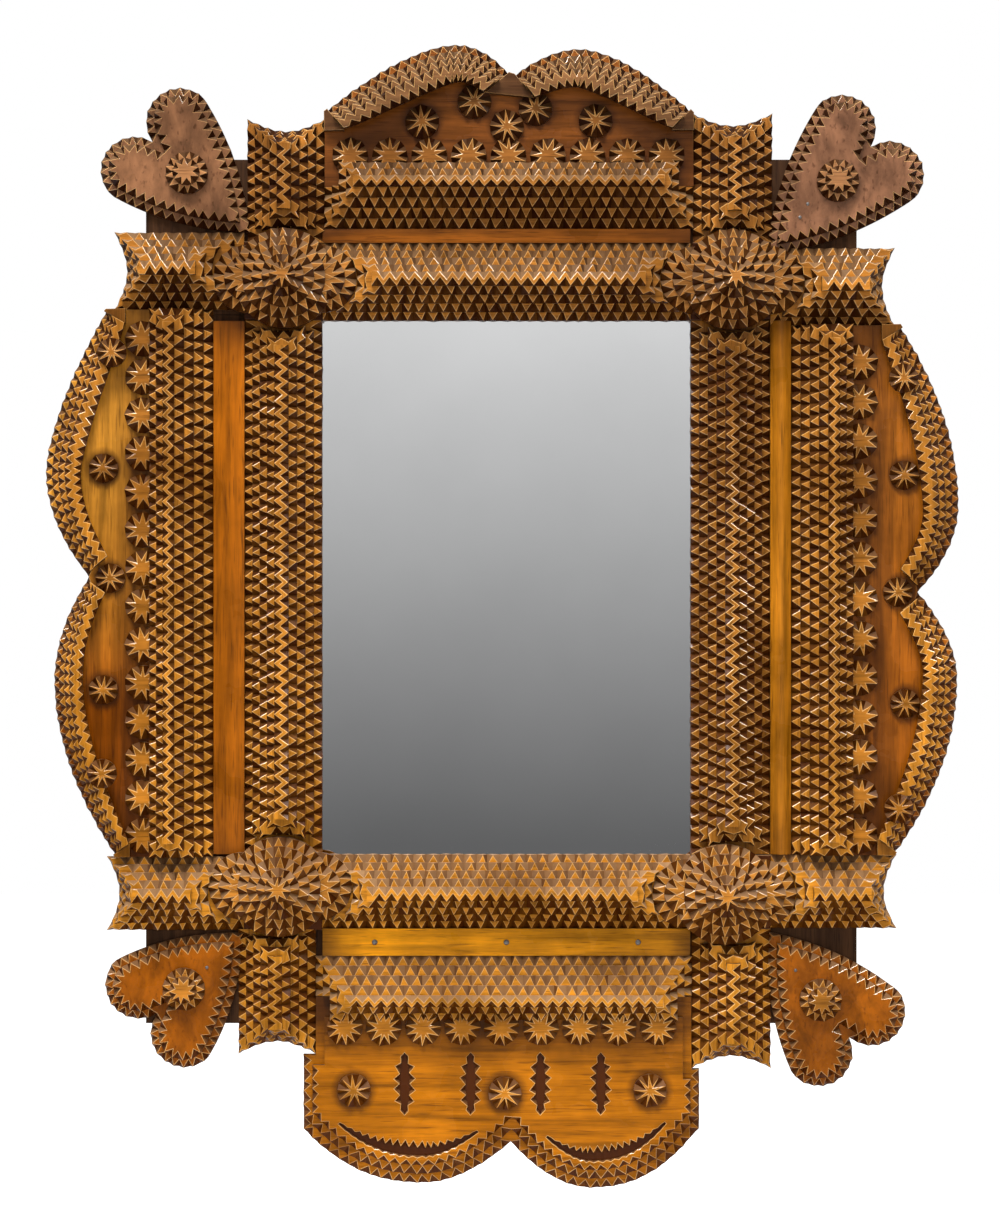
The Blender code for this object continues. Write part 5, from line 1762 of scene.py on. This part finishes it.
class MIRROR_OT_rims(bpy.types.Operator):
    """Carve the stepped crescent on each lobe"""

    bl_idname = "mirror.rims"
    bl_label = "Scalloped Rims"

    def execute(self, context):
        for side in (LEFT, RIGHT, TOP):
            for lobe, end in zip(LOBES[side.name], ("high", "low")):
                carving = Carving()
                carving.add_stack(side.place, rim_layers(side, lobe), ON_PANEL, RIM_HEIGHTS[side.name] / RIM_ROWS)
                node = "scalloped_rim_" + side.name + "_" + end
                # The wedges are stained dark as painted shade against the arms and under the notch.
                for wedge in rim_wedges(side, lobe):
                    carving.add(side.place, (wedge, [STILL] * len(wedge)), ON_PANEL, LAYER, stain=0.6)
                if side is TOP:
                    material = wood("rim_top_wood", TOP_RIM_TONE, TOP_RIM_TONE, dust_and_sheen=0.55)
                else:
                    material = wood("carved_upright", upright=True)
                settle(carve(node + "_carved", carving, material), "carved_wood", node)
        return {"FINISHED"}


class MIRROR_OT_plaque(bpy.types.Operator):
    """Carve the plaque on the bottom panel"""

    bl_idname = "mirror.plaque"
    bl_label = "Plaque"

    def execute(self, context):
        carving = Carving()
        carve_plaque(carving)
        # The plaque darkens towards its upper edge and round its rosettes as painted shade and pooled varnish.
        pool_and_shade_rings = [(place, size[0]) for place, size in field_places(BOTTOM)]
        material = wood("plaque_wood", *PANEL_TONES_AND_SHEEN["bottom"], False, 0.24, 0.2, ("Z", 0.256, 0.234), pool_and_shade_rings)
        settle(carve("bottom_plaque_carved", carving, material, Unevenness=0.0), "plain_wood", "bottom_plaque")
        return {"FINISHED"}


ROW_POINTS = {"left": 9, "right": 9, "top": 10, "bottom": 11}


class MIRROR_OT_rosettes(bpy.types.Operator):
    """Set the rows of rosettes and the loose ones on the panels"""

    bl_idname = "mirror.rosettes"
    bl_label = "Rosettes"

    def execute(self, context):
        material = wood("rosette_wood", (0.47, 0.170, 0.012), (0.17, 0.062, 0.012), dust_and_sheen=0.2)
        for side in SIDES:
            shape = star("row_pattern", ROW_POINTS[side.name], 0.56, material)
            settle(scatter("row_rosettes_" + side.name, shape, row_places(side), material), "carved_wood")
            shape = star("loose_pattern", 9, 0.72, material)
            settle(scatter("loose_rosettes_" + side.name, shape, field_places(side), material), "carved_wood")
        return {"FINISHED"}


class MIRROR_OT_nails(bpy.types.Operator):
    """Drive the fillet nails and the pins of the hearts"""

    bl_idname = "mirror.nails"
    bl_label = "Nails"

    def execute(self, context):
        material = kept("iron_wire", iron)
        middle = (BOTTOM.inner_edge + BOTTOM.fillet_edge) / 2
        spacing = BOTTOM.half_length - FILLET_NAIL_FROM_END
        seat = CARVING_BASE + FILLET_THICKNESS + FILLET_CROWN
        places = [(BOTTOM.place(spacing * step, middle, seat), NAIL_HEAD) for step in (-1, 0, 1)]
        settle(scatter("fillet_nails", nail_shape(material), places, material), "iron",
               "fillet_nail_1", "fillet_nail_2", "fillet_nail_3")
        places = [(corner.on_heart(*pin, CARVING_BASE + 2 * LAYER), PIN_HEAD)
                  for corner in CORNERS for pin in HEART_PINS.get(corner.name, ())]
        settle(scatter("heart_pins", nail_shape(material), places, material), "iron")
        return {"FINISHED"}


class MIRROR_OT_hanger(bpy.types.Operator):
    """Bend the hanger ring and its staple"""

    bl_idname = "mirror.hanger"
    bl_label = "Hanger"

    def execute(self, context):
        material = kept("iron_wire", iron)
        settle(make_ring(material), "iron", "hanger_ring", body="hanger_ring")
        settle(make_staple(material), "iron", "hanger_staple")
        return {"FINISHED"}


PLAIN_NODES = {
    "raw_board_wood": ("back_panel", "back_rail_top", "back_rail_bottom", "back_stile_left", "back_stile_right"),
    "packing_card_grey": ("glass_packing",),
    "silvered_glass_old": ("mirror_glass",),
    "iron_wire": ("back_nail_1", "back_nail_2", "back_nail_3", "back_nail_4"),
}
PLAIN_MAKERS = {"raw_board_wood": raw_board, "packing_card_grey": packing_card,
                "silvered_glass_old": silvered_glass, "iron_wire": iron}


class MIRROR_OT_plain_solids(bpy.types.Operator):
    """Finish the glass, its packing, the boards and the back nails, which keep their shapes"""

    bl_idname = "mirror.plain_solids"
    bl_label = "Glass And Boards"

    def execute(self, context):
        for name, nodes in PLAIN_NODES.items():
            for node in nodes:
                slots = frame["nodes"][node].data.materials
                slots.clear()
                slots.append(kept(name, PLAIN_MAKERS[name]))
        return {"FINISHED"}


def emitter(name, colour, strength):
    """A stage material that gives off light without shadows on itself."""
    material = bpy.data.materials.new(name)
    material.use_nodes = True
    build = Tree(material.node_tree)
    material.node_tree.nodes.remove(material.node_tree.nodes["Principled BSDF"])
    glow = build.node("ShaderNodeEmission", {"Color": colour, "Strength": strength})
    build.tree.links.new(glow.outputs[0], material.node_tree.nodes["Material Output"].inputs["Surface"])
    return material, build, glow


def sheet(name, corners, material):
    """A flat four-cornered sheet."""
    data = bpy.data.meshes.new(name)
    data.from_pydata(corners, [], [range(4)])
    data.materials.append(material)
    item = link(name, data)
    return item


def area_lamp(name, place, target, size, power):
    """A large soft lamp."""
    data = bpy.data.lights.new(name, "AREA")
    data.shape = "RECTANGLE"
    data.size, data.size_y = size
    data.energy = power
    item = link(name, data)
    item.location = place
    item.rotation_mode = "QUATERNION"
    item.rotation_quaternion = (Vector(target) - Vector(place)).to_track_quat("-Z", "Y")
    return item


VIEW_MIDDLE = (-0.0034, -0.0151)
CARVING_DEPTH = 0.022
SENSOR = 36.0
CARD_PLACE = -2.6
ROOM_HALF = 2.2
FLOOR_GLOW = 0.8
ROOM_LOW = -0.35
ROOM_HIGH = 0.40
ROOM_CURVE = 1.2


class MIRROR_OT_stage(bpy.types.Operator):
    """Set the floor, lamps, surroundings and camera"""

    bl_idname = "mirror.stage"
    bl_label = "Stage"

    def execute(self, context):
        stage = context.scene.mirror_stage
        scene = context.scene
        scene.view_settings.view_transform = "Standard"

        floor_wood, build, shader = new_material("floor_pale")
        place = build.node("ShaderNodeTexCoord").outputs["Object"]
        mottle = build.node("ShaderNodeTexNoise", {"Vector": place, "Scale": 6.0}).outputs["Fac"]
        shade(build, shader, Base_Color=mix(build, mottle, (0.80, 0.80, 0.79, 1.0), (0.84, 0.84, 0.83, 1.0)),
              Roughness=ramp(build, mottle, 0.0, 1.0, 0.7, 0.85))
        seen = build.node("ShaderNodeLightPath").outputs["Is Camera Ray"]
        build.tree.links.new(build.math("MULTIPLY", seen, FLOOR_GLOW), shader.inputs["Emission Strength"])
        shader.inputs["Emission Color"].default_value = (1.0, 1.0, 1.0, 1.0)
        level, far = stage.floor_height, 3.0
        sheet("floor", [(-far, -far, level), (far, -far, level), (far, far, level), (-far, far, level)], floor_wood)

        room, build, glow = emitter("room_in_glass", (1.0, 1.0, 1.0, 1.0), 1.0)
        place = build.node("ShaderNodeTexCoord").outputs["Object"]
        height = build.node("ShaderNodeSeparateXYZ", {"Vector": place}).outputs["Z"]
        tone = build.math("POWER", ramp(build, height, ROOM_LOW, ROOM_HIGH), ROOM_CURVE)
        build.tree.links.new(mix(build, tone, (0.134, 0.134, 0.135, 1.0), (0.717, 0.717, 0.717, 1.0)),
                             glow.inputs["Color"])
        card = sheet("room_card", [(-ROOM_HALF, CARD_PLACE, -1.2), (ROOM_HALF, CARD_PLACE, -1.2),
                                   (ROOM_HALF, CARD_PLACE, 1.4), (-ROOM_HALF, CARD_PLACE, 1.4)], room)
        card.visible_camera = card.visible_diffuse = card.visible_shadow = False

        world = bpy.data.worlds.new("studio")
        world.use_nodes = True
        scene.world = world
        build = Tree(world.node_tree)
        way = build.node("ShaderNodeTexCoord").outputs["Generated"]
        up = build.node("ShaderNodeSeparateXYZ", {"Vector": way}).outputs["Z"]
        sky = mix(build, ramp(build, up, -0.5, 0.9), (0.04, 0.04, 0.04, 1.0), (0.36, 0.36, 0.36, 1.0))
        seen = build.node("ShaderNodeLightPath").outputs["Is Camera Ray"]
        backdrop = world.node_tree.nodes["Background"]
        build.tree.links.new(mix(build, seen, sky, (1.0, 1.0, 1.0, 1.0)), backdrop.inputs["Color"])
        backdrop.inputs["Strength"].default_value = 1.0

        area_lamp("key_lamp", (-0.3, -0.95, 1.6), (0.0, 0.0, 0.05), (1.0, 0.6), stage.key_power)
        fill = area_lamp("fill_lamp", (0.5, -2.2, 0.3), (0.0, 0.0, 0.0), (1.6, 1.6), stage.fill_power)
        for way, end in ((-1, "left"), (1, "right")):
            area_lamp("spark_lamp_" + end, (0.75 * way, -0.28, 0.95), (0.0, 0.0, 0.0), (0.25, 0.25), stage.spark_power)
        low = area_lamp("low_lamp", (0.0, -0.62, -0.85), (0.0, 0.0, -0.25), (0.9, 0.4), stage.low_power)
        fill.visible_glossy = low.visible_glossy = False

        lens = bpy.data.cameras.new("camera")
        lens.sensor_width = SENSOR
        lens.lens = SENSOR * stage.distance / stage.view_height
        camera = link("camera", lens)
        camera.location = (VIEW_MIDDLE[0], -CARVING_DEPTH - stage.distance, VIEW_MIDDLE[1])
        camera.rotation_euler = (math.pi / 2, 0.0, 0.0)
        scene.camera = camera
        return {"FINISHED"}


OPERATORS = (
    MIRROR_OT_plain_solids, MIRROR_OT_inner_mouldings, MIRROR_OT_outer_mouldings, MIRROR_OT_fillets,
    MIRROR_OT_arms, MIRROR_OT_bosses, MIRROR_OT_hearts, MIRROR_OT_panels, MIRROR_OT_rims, MIRROR_OT_plaque,
    MIRROR_OT_rosettes, MIRROR_OT_nails, MIRROR_OT_hanger, MIRROR_OT_stage,
)


class MIRROR_PT_sidebar(bpy.types.Panel):
    """Lists the steps that build the mirror"""

    bl_label = "Chip-Carved Mirror"
    bl_idname = "MIRROR_PT_sidebar"
    bl_space_type = "VIEW_3D"
    bl_region_type = "UI"
    bl_category = "Mirror"

    def draw(self, context):
        scene = context.scene
        for settings in (scene.mirror_carving, scene.mirror_finish, scene.mirror_stage):
            for label in settings.__annotations__:
                self.layout.prop(settings, label)
        for operator in OPERATORS:
            self.layout.operator(operator.bl_idname)


CLASSES = (CarvingSettings, FinishSettings, StageSettings, *OPERATORS, MIRROR_PT_sidebar)


def register():
    for item in CLASSES:
        bpy.utils.register_class(item)
    bpy.types.Scene.mirror_carving = bpy.props.PointerProperty(type=CarvingSettings)
    bpy.types.Scene.mirror_finish = bpy.props.PointerProperty(type=FinishSettings)
    bpy.types.Scene.mirror_stage = bpy.props.PointerProperty(type=StageSettings)


def unregister():
    del bpy.types.Scene.mirror_carving
    del bpy.types.Scene.mirror_finish
    del bpy.types.Scene.mirror_stage
    for item in reversed(CLASSES):
        bpy.utils.unregister_class(item)


def main():
    register()
    bpy.ops.mirror.plain_solids()
    bpy.ops.mirror.inner_mouldings()
    bpy.ops.mirror.outer_mouldings()
    bpy.ops.mirror.fillets()
    bpy.ops.mirror.arms()
    bpy.ops.mirror.bosses()
    bpy.ops.mirror.hearts()
    bpy.ops.mirror.panels()
    bpy.ops.mirror.rims()
    bpy.ops.mirror.plaque()
    bpy.ops.mirror.rosettes()
    bpy.ops.mirror.nails()
    bpy.ops.mirror.hanger()
    bpy.ops.mirror.stage()


if __name__ == "__main__":
    main()
